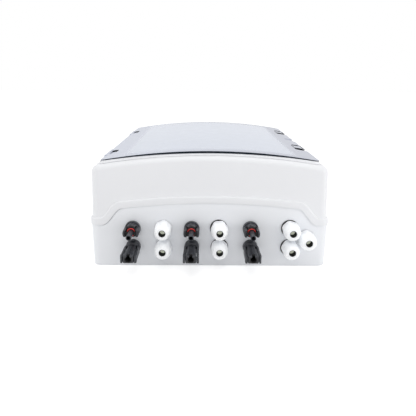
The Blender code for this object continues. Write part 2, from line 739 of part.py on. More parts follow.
def make_cover_screws():
    top = SCREW_HEAD_HEIGHT + GAP
    profile = [
        (0, top),
        (SCREW_HEAD_RADIUS, top),
        (SCREW_HEAD_RADIUS, GAP),
        (SCREW_SHANK_RADIUS, GAP),
        (SCREW_SHANK_RADIUS, -SCREW_LENGTH + SCREW_SHANK_RADIUS),
        (0, -SCREW_LENGTH),
    ]
    screw = finish(turned(profile, SMALL_STEPS), ZINC_STEEL)
    for index, (x, y) in enumerate(SCREW_SPOTS, 1):
        place(screw, f"cover_screw_{index}", (x, y, SCREW_SEAT))
    bpy.data.objects.remove(screw)


# Window door


def make_door():
    door = arch_block(DOOR_BOTTOM, CROWN_HEIGHT, DOOR_HALF, DOOR_HALF, DOOR_CORNER, arched_low=True)
    field_half = inset(RECESS_HALF, GAP)
    field_foot = CROWN_HEIGHT - DOOR_THICKNESS / 2
    field_crown = CROWN_HEIGHT + FIELD_HEIGHT
    join(door, arch_block(field_foot, field_crown, field_half, field_half, RECESS_CORNER, arched_low=True))
    cut(door, edge_relief())
    for y in HINGE_Y:
        half_notch = HINGE_EAR / 2 + GAP
        edge = -DOOR_HALF[0]
        low = (edge - WALL, y - half_notch, 0)
        cut(door, block(low, (edge + HINGE_NOTCH, y + half_notch, CROWN_HEIGHT + WALL)))
        for side in (-1, 1):
            start = (HINGE_X, y + side * half_notch, HINGE_Z)
            end = (HINGE_X, y + side * (half_notch + HINGE_BARREL), HINGE_Z)
            join(door, cylinder(start, end, HINGE_RADIUS))
        cut(door, pin_bore(y, half_notch + HINGE_BARREL + GAP))
    add_latches(door)
    return set_origin(finish(door, SMOKED_CLEAR, "window_door"), (HINGE_X, 0, HINGE_Z))


def edge_relief():
    """What is cut from the door's hinge edge to leave it half round about the hinge axis."""
    radius = DOOR_THICKNESS / 2
    edge = -DOOR_HALF[0]
    tall = DOOR_THICKNESS
    strip = block((edge - radius, -BOX_LENGTH, HINGE_Z - tall), (HINGE_X, BOX_LENGTH, HINGE_Z + tall))
    round_edge = cylinder((HINGE_X, -2 * BOX_LENGTH, HINGE_Z), (HINGE_X, 2 * BOX_LENGTH, HINGE_Z), radius)
    return cut(strip, round_edge)


def add_latches(door):
    """Two slots in the free edge, each with a lever behind it, and a finger scoop between them."""
    edge = DOOR_HALF[0]
    tab_top = DOOR_BOTTOM - arch_drop(edge - LATCH_TAB_INSET) + DOOR_THICKNESS / 2
    depth, length = LATCH_SLOT
    for y in LATCH_Y:
        join(door, latch_pocket(y, 0, latch_floor() + LATCH_POCKET_MARGIN, tab_top))
        low, high = (edge - depth, y - length, 0), (edge + depth, y, CROWN_HEIGHT + WALL)
        cut(door, block(low, high, LATCH_ROUND, CORNER_STEPS))
    middle = sum(LATCH_Y) / 2
    depth, length = SCOOP
    low, high = (edge - depth, middle - length / 2, 0), (edge + depth, middle + length / 2, 2 * CROWN_HEIGHT)
    sunk_crown = CROWN_HEIGHT - SCOOP_SUNK
    skin = arch_block(sunk_crown, CROWN_HEIGHT + WALL, BAND_HALF, BAND_HALF, DOOR_CORNER, arched_low=True)
    cut(door, common(block(low, high), skin))


def make_door_seal():
    low = PLINTH_CROWN - SEAL_GROOVE + GAP
    return finish(seal_ring(low, DOOR_BOTTOM - GAP, GAP), SEAL_BLACK, "door_gasket")


def make_hinge_pins():
    half = HINGE_EAR / 2 + GAP + HINGE_BARREL
    pin = finish(cylinder((0, -half, 0), (0, half, 0), PIN_RADIUS), ZINC_STEEL)
    for name, y in zip(("hinge_pin_lower", "hinge_pin_upper"), HINGE_Y):
        place(pin, name, (HINGE_X, y, HINGE_Z))
    bpy.data.objects.remove(pin)


# Devices on the rails


def rail_outline():
    """Half of the top-hat section, mirrored, as (y, z) points from the rail's seat."""
    web, lip = RAIL_WEB / 2, RAIL_WIDTH / 2
    right = [
        (web, 0),
        (web, RAIL_HEIGHT - RAIL_METAL),
        (lip, RAIL_HEIGHT - RAIL_METAL),
        (lip, RAIL_HEIGHT),
        (web - RAIL_METAL, RAIL_HEIGHT),
        (web - RAIL_METAL, RAIL_METAL),
    ]
    return right + [(-y, z) for y, z in reversed(right)]


def make_rails():
    rail = extruded(rail_outline(), -RAIL_LENGTH / 2, RAIL_LENGTH / 2, "X")
    finish(rail, ZINC_STEEL)
    for name, y in (("din_rail_lower", -ROW_Y), ("din_rail_upper", ROW_Y)):
        place(rail, name, (0, y, RAIL_SEAT))
    bpy.data.objects.remove(rail)


def clip_outline():
    """Underside of a device from its -Y end to its +Y end, clipped over the rail's lips."""
    end = DEVICE_LENGTH / 2
    lip = RAIL_WIDTH / 2 + GAP
    clip = RAIL_WIDTH / 2 - DEVICE_CLIP
    under = -RAIL_METAL - GAP
    left = [(-end, -DEVICE_BACK), (-clip, -DEVICE_BACK), (-clip, under), (-lip, under), (-lip, GAP)]
    return left + [(-y, z) for y, z in reversed(left)]


def make_breakers():
    end, nose = DEVICE_LENGTH / 2, NOSE_LENGTH / 2
    front = [(end, DEVICE_SHOULDER), (nose, DEVICE_SHOULDER), (nose, DEVICE_NOSE)]
    outline = clip_outline() + front + [(-y, z) for y, z in reversed(front)]
    body = extruded(outline, -DEVICE_WIDTH / 2, DEVICE_WIDTH / 2, "X")
    hub_z = DEVICE_NOSE - TOGGLE_DROP
    pocket_half = TOGGLE_WIDTH / 2 + TOGGLE_CLEARANCE
    pocket = TOGGLE_HUB + TOGGLE_CLEARANCE
    cut(body, cylinder((-pocket_half, 0, hub_z), (pocket_half, 0, hub_z), pocket, HOLE_STEPS))
    for x in (-MODULE / 2, MODULE / 2):
        for side in (-1, 1):
            mouth = (x, side * (end + GAP), TERMINAL_HEIGHT)
            seat = (x, side * (end - TERMINAL_DEPTH), TERMINAL_HEIGHT)
            cut(body, cylinder(mouth, seat, TERMINAL_RADIUS, SMALL_STEPS))
    toggle = make_toggle()
    finish(body, DEVICE_WHITE)
    for index, x in enumerate(STRING_X, 1):
        place(body, f"breaker_body_{index}", (x, -ROW_Y, RAIL_TOP))
        place(toggle, f"breaker_toggle_{index}", (x, -ROW_Y, RAIL_TOP + hub_z), (TOGGLE_LEAN, 0, 0))
    bpy.data.objects.remove(body)
    bpy.data.objects.remove(toggle)


def make_toggle():
    """A linked two-pole toggle, upright about its hub; it is leaned over when it is placed."""
    half = TOGGLE_WIDTH / 2
    hub = cylinder((-half, 0, 0), (half, 0, 0), TOGGLE_HUB, HOLE_STEPS)
    root, end = TOGGLE_THICKNESS / 2, TOGGLE_TIP / 2
    tip = TOGGLE_HUB + TOGGLE_LEVER
    outline = [(-root, 0), (root, 0), (end, tip), (-end, tip)]
    margin = TOGGLE_CLEARANCE
    join(hub, extruded(outline, -half + margin, half - margin, "X"))
    return finish(hub, TOGGLE_BLACK)


def make_surge_protectors():
    end, well = DEVICE_LENGTH / 2, NOSE_LENGTH / 2
    front = [(end, DEVICE_SHOULDER), (well, DEVICE_SHOULDER), (well, CARTRIDGE_SEAT)]
    outline = clip_outline() + front + [(-y, z) for y, z in reversed(front)]
    base = extruded(outline, -DEVICE_WIDTH / 2, DEVICE_WIDTH / 2, "X")
    finish(base, DEVICE_WHITE)
    half_x = MODULE / 2 - GAP
    half_y = well - GAP
    seat, top = CARTRIDGE_SEAT + GAP, DEVICE_NOSE
    cartridge = block((-half_x, -half_y, seat), (half_x, half_y, top), CARTRIDGE_BEVEL, 1)
    finish(cartridge, CARTRIDGE_GREY)
    for index, x in enumerate(STRING_X, 1):
        place(base, f"surge_base_{index}", (x, ROW_Y, RAIL_TOP))
        place(cartridge, f"surge_cartridge_{index}_left", (x - MODULE / 2, ROW_Y, RAIL_TOP))
        place(cartridge, f"surge_cartridge_{index}_right", (x + MODULE / 2, ROW_Y, RAIL_TOP))
    bpy.data.objects.remove(base)
    bpy.data.objects.remove(cartridge)


def make_earth_bar():
    half_x, half_y = EARTH_BAR[0] / 2, EARTH_BAR[1] / 2
    bar = block((-half_x, -half_y, 0), (half_x, half_y, EARTH_BAR[2]))
    pitch = EARTH_BAR[1] / EARTH_HOLES
    for index in range(EARTH_HOLES):
        y = (index + 0.5) * pitch - half_y
        middle = EARTH_BAR[2] / 2
        cut(bar, cylinder((0, y, middle), (0, y, EARTH_BAR[2] + GAP), EARTH_HOLE_RADIUS, SMALL_STEPS))
    finish(bar, BRASS, "earth_bar")
    bar.location = (EARTH_BAR_X, 0, EARTH_BAR_SEAT)


# Cable entries, drawn with +Z out of the wall and turned to face -Y when placed


FACE_OUT = (math.pi / 2, 0, 0)


def threaded_end(thread, flats):
    """The barrel through the wall and the locknut behind it."""
    barrel = shaft(-INSIDE_DEPTH, ENTRY_SEAT + WALL, thread)
    nut_top = -WALL - ENTRY_SEAT
    return join(barrel, hexagon(nut_top - LOCKNUT_THICKNESS, nut_top, flats))


def make_glands():
    flange_top = ENTRY_SEAT + GLAND_FLANGE
    body = threaded_end(GLAND_THREAD, GLAND_FLATS)
    join(body, hexagon(ENTRY_SEAT, flange_top, GLAND_FLATS))
    join(body, shaft(WALL, GLAND_FINGERS, GLAND_NECK))
    cut(body, shaft(-2 * INSIDE_DEPTH, GLAND_LENGTH, GLAND_BORE))
    finish(body, GLAND_WHITE)
    nut = make_gland_nut(flange_top + GAP)
    for index, (x, z) in enumerate(gland_spots(), 1):
        spot = (x, entry_wall(z), z)
        place(body, f"gland_body_{index}", spot, FACE_OUT)
        place(nut, f"gland_nut_{index}", spot, FACE_OUT)
    bpy.data.objects.remove(body)
    bpy.data.objects.remove(nut)


def make_gland_nut(foot):
    """The domed nut: hexagonal grip, round dome and a mouth that narrows over the clamping fingers."""
    grip_top = foot + GLAND_NUT_GRIP
    nut = hexagon(foot, grip_top, GLAND_FLATS)
    dome = [(0, GLAND_LENGTH)]
    for index in range(DOME_STEPS + 1):
        angle = math.pi / 2 * index / DOME_STEPS
        radius = GLAND_TIP + (GLAND_DOME - GLAND_TIP) * math.sin(angle)
        dome.append((radius, grip_top + (GLAND_LENGTH - grip_top) * math.cos(angle)))
    dome += [(GLAND_DOME, foot + GAP), (0, foot + GAP)]
    join(nut, turned(dome))
    inside = GLAND_NECK + GAP
    throat = [
        (0, GLAND_LENGTH + GAP),
        (GLAND_MOUTH, GLAND_LENGTH + GAP),
        (GLAND_MOUTH, GLAND_LENGTH - GLAND_LIP),
        (inside, GLAND_FINGERS + GLAND_HEADROOM),
        (inside, foot - GAP),
        (0, foot - GAP),
    ]
    cut(nut, turned(throat))
    return finish(nut, GLAND_WHITE)


def rear_bore():
    return shaft(-2 * INSIDE_DEPTH, -INSIDE_DEPTH + CONNECTOR_REAR_DEPTH, CONNECTOR_REAR_BORE)


def make_sockets():
    """Upper row: a contact tube with a red seal at its root, between two curved guards."""
    body = threaded_end(CONNECTOR_THREAD, CONNECTOR_FLATS)
    join(body, shaft(ENTRY_SEAT, SOCKET_COLLAR_DEPTH, SOCKET_COLLAR, HOLE_STEPS))
    join(body, shaft(WALL, SOCKET_BODY_DEPTH, SOCKET_BODY, HOLE_STEPS))
    inner, outer = SOCKET_GUARD
    guards = shaft(SOCKET_COLLAR_DEPTH - EMBED, SOCKET_GUARD_DEPTH, outer, HOLE_STEPS)
    cut(guards, shaft(0, SOCKET_LENGTH, inner, HOLE_STEPS))
    wide = 2 * outer
    common(guards, block((-wide, -SOCKET_GUARD_HALF, 0), (wide, SOCKET_GUARD_HALF, SOCKET_LENGTH)))
    join(body, guards)
    join(body, shaft(SOCKET_COLLAR_DEPTH, SOCKET_LENGTH, SOCKET_TUBE))
    cut(body, shaft(SOCKET_LENGTH - SOCKET_BORE_DEPTH, SOCKET_LENGTH + GAP, SOCKET_TUBE_BORE))
    cut(body, rear_bore())
    finish(body, CONNECTOR_BLACK)
    bore = SOCKET_TUBE + GAP
    foot = SOCKET_BODY_DEPTH + GAP
    ring = [
        (bore, foot + SEAL_RING_WALL),
        (bore + SEAL_RING_WALL, foot + SEAL_RING_WALL),
        (bore + SEAL_RING_WALL, foot),
        (bore, foot),
    ]
    seal = finish(turned(ring), SEAL_RED)
    for index, x in enumerate(CONNECTOR_X, 1):
        spot = (x, entry_wall(CONNECTOR_UPPER), CONNECTOR_UPPER)
        place(body, f"pv_socket_{index}", spot, FACE_OUT)
        place(seal, f"socket_seal_{index}", spot, FACE_OUT)
    bpy.data.objects.remove(body)
    bpy.data.objects.remove(seal)


def make_plugs():
    """Lower row: a hooded pin with a sprung latch arm on each side."""
    body = threaded_end(CONNECTOR_THREAD, CONNECTOR_FLATS)
    cone_top = PLUG_ARM_ROOT + PLUG_ARM
    collar = [
        (0, cone_top),
        (PLUG_BODY[1], cone_top),
        (PLUG_COLLAR, PLUG_COLLAR_DEPTH),
        (PLUG_COLLAR, ENTRY_SEAT),
        (0, ENTRY_SEAT),
    ]
    join(body, turned(collar))
    half_x, half_y = PLUG_BODY
    join(body, block((-half_x, -half_y, WALL), (half_x, half_y, PLUG_LENGTH), PLUG_CHAMFER, 1))
    join(body, plug_arms())
    cut(body, shaft(PLUG_LENGTH - PLUG_CAVITY_DEPTH, PLUG_LENGTH + GAP, PLUG_CAVITY))
    pin_foot = PLUG_LENGTH - PLUG_CAVITY_DEPTH - WALL
    join(body, shaft(pin_foot, PLUG_LENGTH - PLUG_PIN_SHORT, PLUG_PIN))
    cut(body, rear_bore())
    finish(body, CONNECTOR_BLACK)
    for index, x in enumerate(CONNECTOR_X, 1):
        spot = (x, entry_wall(CONNECTOR_LOWER), CONNECTOR_LOWER)
        place(body, f"pv_plug_{index}", spot, FACE_OUT)
    bpy.data.objects.remove(body)


def plug_arms():
    """Both latch arms and the bridge that carries them, drawn in (x, depth) and drawn out in height."""
    outer = PLUG_WIDTH / 2
    inner = outer - PLUG_ARM
    root, tip = PLUG_ARM_ROOT, PLUG_LENGTH
    right = [
        (inner, root + 2 * PLUG_ARM),
        (inner, tip - PLUG_BARB - PLUG_ARM),
        (inner - PLUG_THUMB, tip - PLUG_BARB / 2),
        (inner, tip),
        (outer - PLUG_HOOK, tip),
        (outer, tip - PLUG_RAMP),
        (outer, tip - PLUG_BARB),
        (outer - PLUG_HOOK, tip - PLUG_BARB),
        (outer - PLUG_HOOK, root + PLUG_ARM),
        (outer - PLUG_ARM, root),
    ]
    outline = right + [(-x, depth) for x, depth in reversed(right)]
    return extruded(outline, -PLUG_ARM_HALF, PLUG_ARM_HALF, "Y")


# String wires


def wire_route(start, end):
    """A smooth lead that leaves and arrives along +Y, straight at both ends."""
    start, end = Vector(start), Vector(end)
    straight = Vector((0, WIRE_STRAIGHT, 0))
    first, last = start + straight, end - straight
    handle = Vector((0, (last - first).length / 2, 0))
    points = [start]
    for index in range(WIRE_POINTS):
        t = index / (WIRE_POINTS - 1)
        s = 1 - t
        near = s**3 * first + 3 * s * s * t * (first + handle)
        far = 3 * s * t * t * (last - handle) + t**3 * last
        points.append(near + far)
    return points + [end]


def make_wire(name, start, end, finish_material):
    curve = bpy.data.curves.new(name, "CURVE")
    curve.dimensions = "3D"
    curve.bevel_depth = WIRE_RADIUS
    curve.bevel_resolution = 2
    curve.use_fill_caps = True
    points = wire_route(start, end)
    spline = curve.splines.new("POLY")
    spline.points.add(len(points) - 1)
    for point, spot in zip(spline.points, points):
        point.co = (*spot, 1)
    curve.materials.append(finish_material)
    PARTS.objects.link(bpy.data.objects.new(name, curve))


def make_wires():
    """From the back of each connector to the string's breaker, plus from the socket, minus from the plug."""
    terminal_y = -ROW_Y - DEVICE_LENGTH / 2 + TERMINAL_DEPTH / 2
    height = RAIL_TOP + TERMINAL_HEIGHT
    for index, (x, string_x) in enumerate(zip(CONNECTOR_X, STRING_X), 1):
        for sign, side, z, colour in (
            ("plus", -1, CONNECTOR_UPPER, WIRE_RED),
            ("minus", 1, CONNECTOR_LOWER, WIRE_BLACK),
        ):
            rear = entry_wall(z) + INSIDE_DEPTH - CONNECTOR_REAR_DEPTH / 2
            start = (x, rear, z)
            end = (string_x + side * MODULE / 2, terminal_y, height)
            make_wire(f"string_wire_{index}_{sign}", start, end, colour)


make_base()
make_cover()
make_cover_gasket()
make_cover_screws()
make_door()
make_door_seal()
make_hinge_pins()
make_rails()
make_breakers()
make_surge_protectors()
make_earth_bar()
make_glands()
make_sockets()
make_plugs()
make_wires()
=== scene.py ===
"""Looks of the DC combiner box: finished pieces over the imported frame, their materials, light and camera."""

import json
import math

import bmesh
import bpy
from mathutils import Matrix, Vector


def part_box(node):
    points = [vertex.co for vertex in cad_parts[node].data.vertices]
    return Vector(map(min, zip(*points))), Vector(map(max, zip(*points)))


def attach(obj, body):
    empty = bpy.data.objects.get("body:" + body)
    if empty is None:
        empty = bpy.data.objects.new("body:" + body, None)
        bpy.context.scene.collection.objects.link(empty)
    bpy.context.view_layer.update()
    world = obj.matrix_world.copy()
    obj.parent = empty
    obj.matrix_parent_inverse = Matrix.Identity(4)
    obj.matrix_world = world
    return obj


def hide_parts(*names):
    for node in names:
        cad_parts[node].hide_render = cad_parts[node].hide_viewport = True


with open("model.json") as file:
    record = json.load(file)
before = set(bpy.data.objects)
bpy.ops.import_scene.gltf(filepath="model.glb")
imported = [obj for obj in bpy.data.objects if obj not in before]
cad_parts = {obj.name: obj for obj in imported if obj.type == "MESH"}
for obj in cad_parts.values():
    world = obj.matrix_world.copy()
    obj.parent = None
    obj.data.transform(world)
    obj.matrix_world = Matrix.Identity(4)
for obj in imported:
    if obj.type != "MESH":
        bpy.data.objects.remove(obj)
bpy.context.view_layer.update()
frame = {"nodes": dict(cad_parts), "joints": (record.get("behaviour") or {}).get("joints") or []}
NODES = frame["nodes"]
ROOT = "enclosure"
MM = 0.001
GAP = 0.3 * MM


def middle_of(node):
    low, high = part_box(node)
    return (low + high) / 2


def inset(half, margin):
    return (half[0] - margin, half[1] - margin)


# Sizes taken from the frame
COVER_LOW, COVER_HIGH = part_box("cover_shell")
DOOR_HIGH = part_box("window_door")[1]
FIELD_HEIGHT = 0.6 * MM
BAND_HALF = (COVER_HIGH.x, COVER_HIGH.y)
DOOR_HALF = (DOOR_HIGH.x, DOOR_HIGH.y)
PARTING_LOW = COVER_LOW.z
CROWN = DOOR_HIGH.z - FIELD_HEIGHT
PLINTH_CROWN = COVER_HIGH.z
HINGE = Vector(next(joint for joint in frame["joints"] if joint["name"] == "door_hinge")["pos_m"])

# Sizes shared with the solids
WALL = 3.5 * MM
FLOOR = 4 * MM
CORNER = 9 * MM
BASE_INSET = 1.2 * MM
BASE_DRAFT = 1 * MM
COVER_INSET = 2.3 * MM
COVER_DRAFT = 1.3 * MM
ARCH_RADIUS = 777 * MM
PARTING_SHOULDER = 75 * MM
PARTING_CROWN = 82 * MM
STEP_OUTER = 16.5 * MM
STEP_INNER = 39.5 * MM
STEP_LEAN = 0.45
BAND_HEIGHT = 9 * MM
BAND_WALL = 2.2 * MM
TONGUE = 5 * MM
WALL_LIFT = 7.2 * MM
PLINTH_HEIGHT = 2.4 * MM
COVER_CROWN = PLINTH_CROWN - PLINTH_HEIGHT
DOOR_THICKNESS = 2.6 * MM
DOOR_CORNER = 7 * MM
RECESS_HALF = (BAND_HALF[0] - 43 * MM, BAND_HALF[1] - 29.5 * MM)
RECESS_CORNER = 6 * MM
PANEL = 2.5 * MM
PANEL_TOP = CROWN - 33.6 * MM
SEAL_MARGIN = 2.5 * MM
SEAL_WIDTH = 3.5 * MM
SEAL_GROOVE = 2 * MM
NOSE_LENGTH = 45 * MM
HINGE_Y = (-133 * MM, 105 * MM)
HINGE_EAR = 30 * MM
HINGE_BARREL = 10 * MM
HINGE_RADIUS = 2.2 * MM
HINGE_NOTCH = 12.5 * MM
HINGE_CLEARANCE = 0.8 * MM
LATCH_Y = (-90 * MM, 104 * MM)
LATCH_SLOT = (16.5 * MM, 20 * MM)
LATCH_LEVER = 30 * MM
LATCH_TAB = (2 * MM, 16 * MM, 6 * MM)
LATCH_TAB_INSET = 13 * MM
SCOOP = (14 * MM, 24 * MM)
SCOOP_SUNK = 0.9 * MM

# Sizes of the finish alone
EDGE_TAPER = 1.8 * MM  # the door thins by this much from its crown to its long edges
CROWN_LIFT = 0.6 * MM  # the cover's skin is flatter than its crown line by this much at the same edges
SEAM_SAG = 0.8 * MM  # the seam gapes by this much on the left step of the parting line
SEAT_DARK = 8 * MM  # length of the near-black pad, painted shade, at the far end of a hinge notch
SLOT_SUNK = 1.2 * MM  # depth of the pocket under a latch
SLOT_REACH = 5 * MM  # how far a latch pocket goes on under its lever
LEVER_CORNER = 6 * MM
LEVER_SIDE = (1.2 * MM, 1.45 * MM)  # width and depth of the grooves round a latch's lever
LEVER_BACK = (11 * MM, 1.2 * MM)
LEVER_EDGE = (2 * MM, 1.2 * MM)
LENS_SUNK = 0.6 * MM
LENS_MARGIN = 0.2 * MM

# Fillets and facets
FOOT = 1.5 * MM
SHOULDER = 7.2 * MM
ARC_STEPS = 8
SMOOTH_ANGLE = math.radians(38)
COARSE = [index / 10 for index in range(8)]
FINE = [0.74 + index * 0.02 for index in range(14)]
ENDS = [-f for f in reversed((COARSE + FINE)[1:])] + COARSE + FINE
SIDES = [index / 5 - 1 for index in range(11)]


def arch_drop(x):
    return ARCH_RADIUS - math.sqrt(ARCH_RADIUS**2 - x**2)


def crowned(level, taper=0.0):
    """Height of a crowned surface; taper lifts it towards the long edges."""
    return lambda x: level - arch_drop(x) + taper * (x / DOOR_HALF[0]) ** 2


def flat(level):
    return lambda x: level


def parted(lift):
    """Height of the stepped parting line, lifted square to itself."""

    def height(x):
        foot = BAND_HALF[0] - STEP_OUTER + STEP_LEAN * lift
        top = BAND_HALF[0] - STEP_INNER + STEP_LEAN * lift
        arch = PARTING_CROWN - (PARTING_CROWN - PARTING_SHOULDER) * (x / top) ** 2
        run = min(max((foot - abs(x)) / (foot - top), 0), 1)
        return PARTING_LOW + lift + (arch - PARTING_LOW) * run * run * (3 - 2 * run)

    return height


def sagged(lift):
    """The parting line of the base, a little low on the left step."""
    line = parted(lift)
    middle = (STEP_OUTER + STEP_INNER) / 2 - BAND_HALF[0]
    half = (STEP_INNER - STEP_OUTER) * 0.7
    return lambda x: line(x) - SEAM_SAG * max(1 - ((x - middle) / half) ** 2, 0)


def between(one, two, share):
    return lambda x: one(x) * (1 - share) + two(x) * share


def quarter(steps):
    """(sine, 1 - cosine) pairs along a quarter circle."""
    angles = [math.pi / 2 * index / steps for index in range(steps + 1)]
    return [(math.sin(angle), 1 - math.cos(angle)) for angle in angles]


# Shapes


def mesh_object(name, bm):
    bmesh.ops.recalc_face_normals(bm, faces=bm.faces)
    mesh = bpy.data.meshes.new(name)
    bm.to_mesh(mesh)
    bm.free()
    obj = bpy.data.objects.new(name, mesh)
    bpy.context.scene.collection.objects.link(obj)
    return obj


def ring(half, radius, height, grow=0.0):
    """Points round a rounded rectangle at the heights given for x, moved outwards by grow."""
    normals = [Vector(pair) for pair in ((0, -1), (1, 0), (0, 1), (-1, 0))]
    points = []
    for side, normal in enumerate(normals):
        along = normals[(side + 1) % 4]
        length = half[side % 2] - radius
        offset = half[1 - side % 2]
        shares = SIDES if side % 2 else ENDS
        spots = [(along * share * length + normal * offset, normal) for share in shares]
        centre = along * length + normal * (offset - radius)
        for index in range(1, ARC_STEPS):
            angle = math.pi / 2 * index / ARC_STEPS
            out = normal * math.cos(angle) + along * math.sin(angle)
            spots.append((centre + out * radius, out))
        for spot, out in spots:
            moved = spot + out * (grow(height(spot.x)) if callable(grow) else grow)
            points.append(Vector((moved.x, moved.y, height(moved.x))))
    return points


def arch_cap(bm, loop):
    """Fills a ring whose height depends on x alone with strips from its front edge to its back edge."""
    ends, corner = len(ENDS), ARC_STEPS - 1
    back = ends + corner + len(SIDES) + corner
    for index in range(ends - 1):
        other = back + ends - 1 - index
        bm.faces.new((loop[index], loop[index + 1], loop[other - 1], loop[other]))
    bm.faces.new(loop[ends - 1 : back + 1])
    bm.faces.new(loop[back + ends - 1 :] + loop[:1])


def loft(name, rings, cap="flat"):
    """A solid through matching rings: its ends are filled flat or crowned, or joined to each other."""
    bm = bmesh.new()
    loops = [[bm.verts.new(point) for point in points] for points in rings]
    pairs = list(zip(loops, loops[1:]))
    if cap == "closed":
        pairs.append((loops[-1], loops[0]))
    for one, two in pairs:
        for index in range(len(one)):
            after = (index + 1) % len(one)
            bm.faces.new((one[index], one[after], two[after], two[index]))
    for loop in (loops[0], loops[-1]) if cap != "closed" else ():
        if cap == "flat":
            bm.faces.new(loop)
        else:
            arch_cap(bm, loop)
    return mesh_object(name, bm)


def block(low, high, radius=0.0, steps=3, upright_only=False):
    bm = bmesh.new()
    bmesh.ops.create_cube(bm, size=1)
    low, high = Vector(low), Vector(high)
    edges = list(bm.edges)
    if upright_only:
        edges = [edge for edge in edges if abs(edge.verts[0].co.z - edge.verts[1].co.z) > 0.5]
    for vert in bm.verts:
        vert.co = (low + high) / 2 + vert.co * (high - low)
    if radius:
        bmesh.ops.bevel(bm, geom=edges, offset=radius, segments=steps, profile=0.5, affect="EDGES")
    return mesh_object("block", bm)


def cylinder(start, end, radius, steps=32):
    start, end = Vector(start), Vector(end)
    axis = end - start
    place = Matrix.Translation((start + end) / 2) @ axis.to_track_quat("Z", "Y").to_matrix().to_4x4()
    bm = bmesh.new()
    bmesh.ops.create_cone(
        bm, cap_ends=True, segments=steps, radius1=radius, radius2=radius, depth=axis.length, matrix=place
    )
    return mesh_object("cylinder", bm)


def turned(profile, steps=48, turn=0.0):
    """A solid turned about Z from (radius, height) points in millimetres; radius 0 makes a pole."""
    bm = bmesh.new()
    loops = []
    for radius, height in profile:
        if radius == 0:
            loops.append([bm.verts.new((0, 0, height * MM))])
            continue
        angles = [turn + 2 * math.pi * index / steps for index in range(steps)]
        loops.append(
            [bm.verts.new((radius * MM * math.cos(a), radius * MM * math.sin(a), height * MM)) for a in angles]
        )
    pairs = list(zip(loops, loops[1:]))
    if len(loops[0]) > 1:
        pairs.append((loops[-1], loops[0]))
    for one, two in pairs:
        for index in range(steps):
            after = (index + 1) % steps
            corners = [one[index % len(one)], one[after % len(one)], two[after % len(two)], two[index % len(two)]]
            corners = list(dict.fromkeys(corners))
            if len(corners) > 2:
                bm.faces.new(corners)
    return mesh_object("turned", bm)


def hexagon(low, high, flats):
    return turned([(0, low), (flats / math.sqrt(3), low), (flats / math.sqrt(3), high), (0, high)], 6)


def extruded(outline, start, end):
    """An outline of (x, z) points drawn out along Y."""
    bm = bmesh.new()
    face = bm.faces.new([bm.verts.new((x, start, z)) for x, z in outline])
    grown = bmesh.ops.extrude_face_region(bm, geom=[face])
    moved = [item for item in grown["geom"] if isinstance(item, bmesh.types.BMVert)]
    bmesh.ops.translate(bm, verts=moved, vec=(0, end - start, 0))
    return mesh_object("extruded", bm)


def merged(*objects):
    """One object with the meshes of several, which are used up."""
    bm = bmesh.new()
    for obj in objects:
        bm.from_mesh(obj.data)
        bpy.data.objects.remove(obj)
    return mesh_object("merged", bm)


def boolean(target, tool, operation):
    modifier = target.modifiers.new(operation.lower(), "BOOLEAN")
    modifier.operation = operation
    modifier.object = tool
    modifier.solver = "EXACT"
    bpy.context.view_layer.update()
    graph = bpy.context.evaluated_depsgraph_get()
    target.data = bpy.data.meshes.new_from_object(target.evaluated_get(graph))
    target.modifiers.clear()
    bpy.data.objects.remove(tool)
    return target


def join(target, *tools):
    return boolean(target, merged(*tools), "UNION")


def cut(target, *tools):
    return boolean(target, merged(*tools), "DIFFERENCE")


def common(target, tool):
    return boolean(target, tool, "INTERSECT")


def copy_of(node):
    """A new object with a CAD node's shape, to be cut or softened further."""
    obj = bpy.data.objects.new(node + "_copy", NODES[node].data.copy())
    bpy.context.scene.collection.objects.link(obj)
    return obj


def soften(obj, width, steps=2):
    """Rounds the sharp edges of a finished piece."""
    bevel = obj.modifiers.new("soft_edges", "BEVEL")
    bevel.width = width
    bevel.segments = steps
    bevel.limit_method = "ANGLE"
    bevel.angle_limit = math.radians(40)
    bevel.harden_normals = True
    return obj


def finish(obj, *finishes):
    obj.data.materials.clear()
    for made in finishes:
        obj.data.materials.append(made)
    obj.data.shade_smooth()
    obj.data.set_sharp_from_angle(angle=SMOOTH_ANGLE)
    return obj


def split_materials(obj, choose):
    """Gives each face the material whose number choose returns."""
    for face in obj.data.polygons:
        face.material_index = choose(face)


def dress(obj, name, body, slot, *stands_for):
    obj.name = name
    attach(obj, body)
    if stands_for:
        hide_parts(*stands_for)
    return obj


# Materials


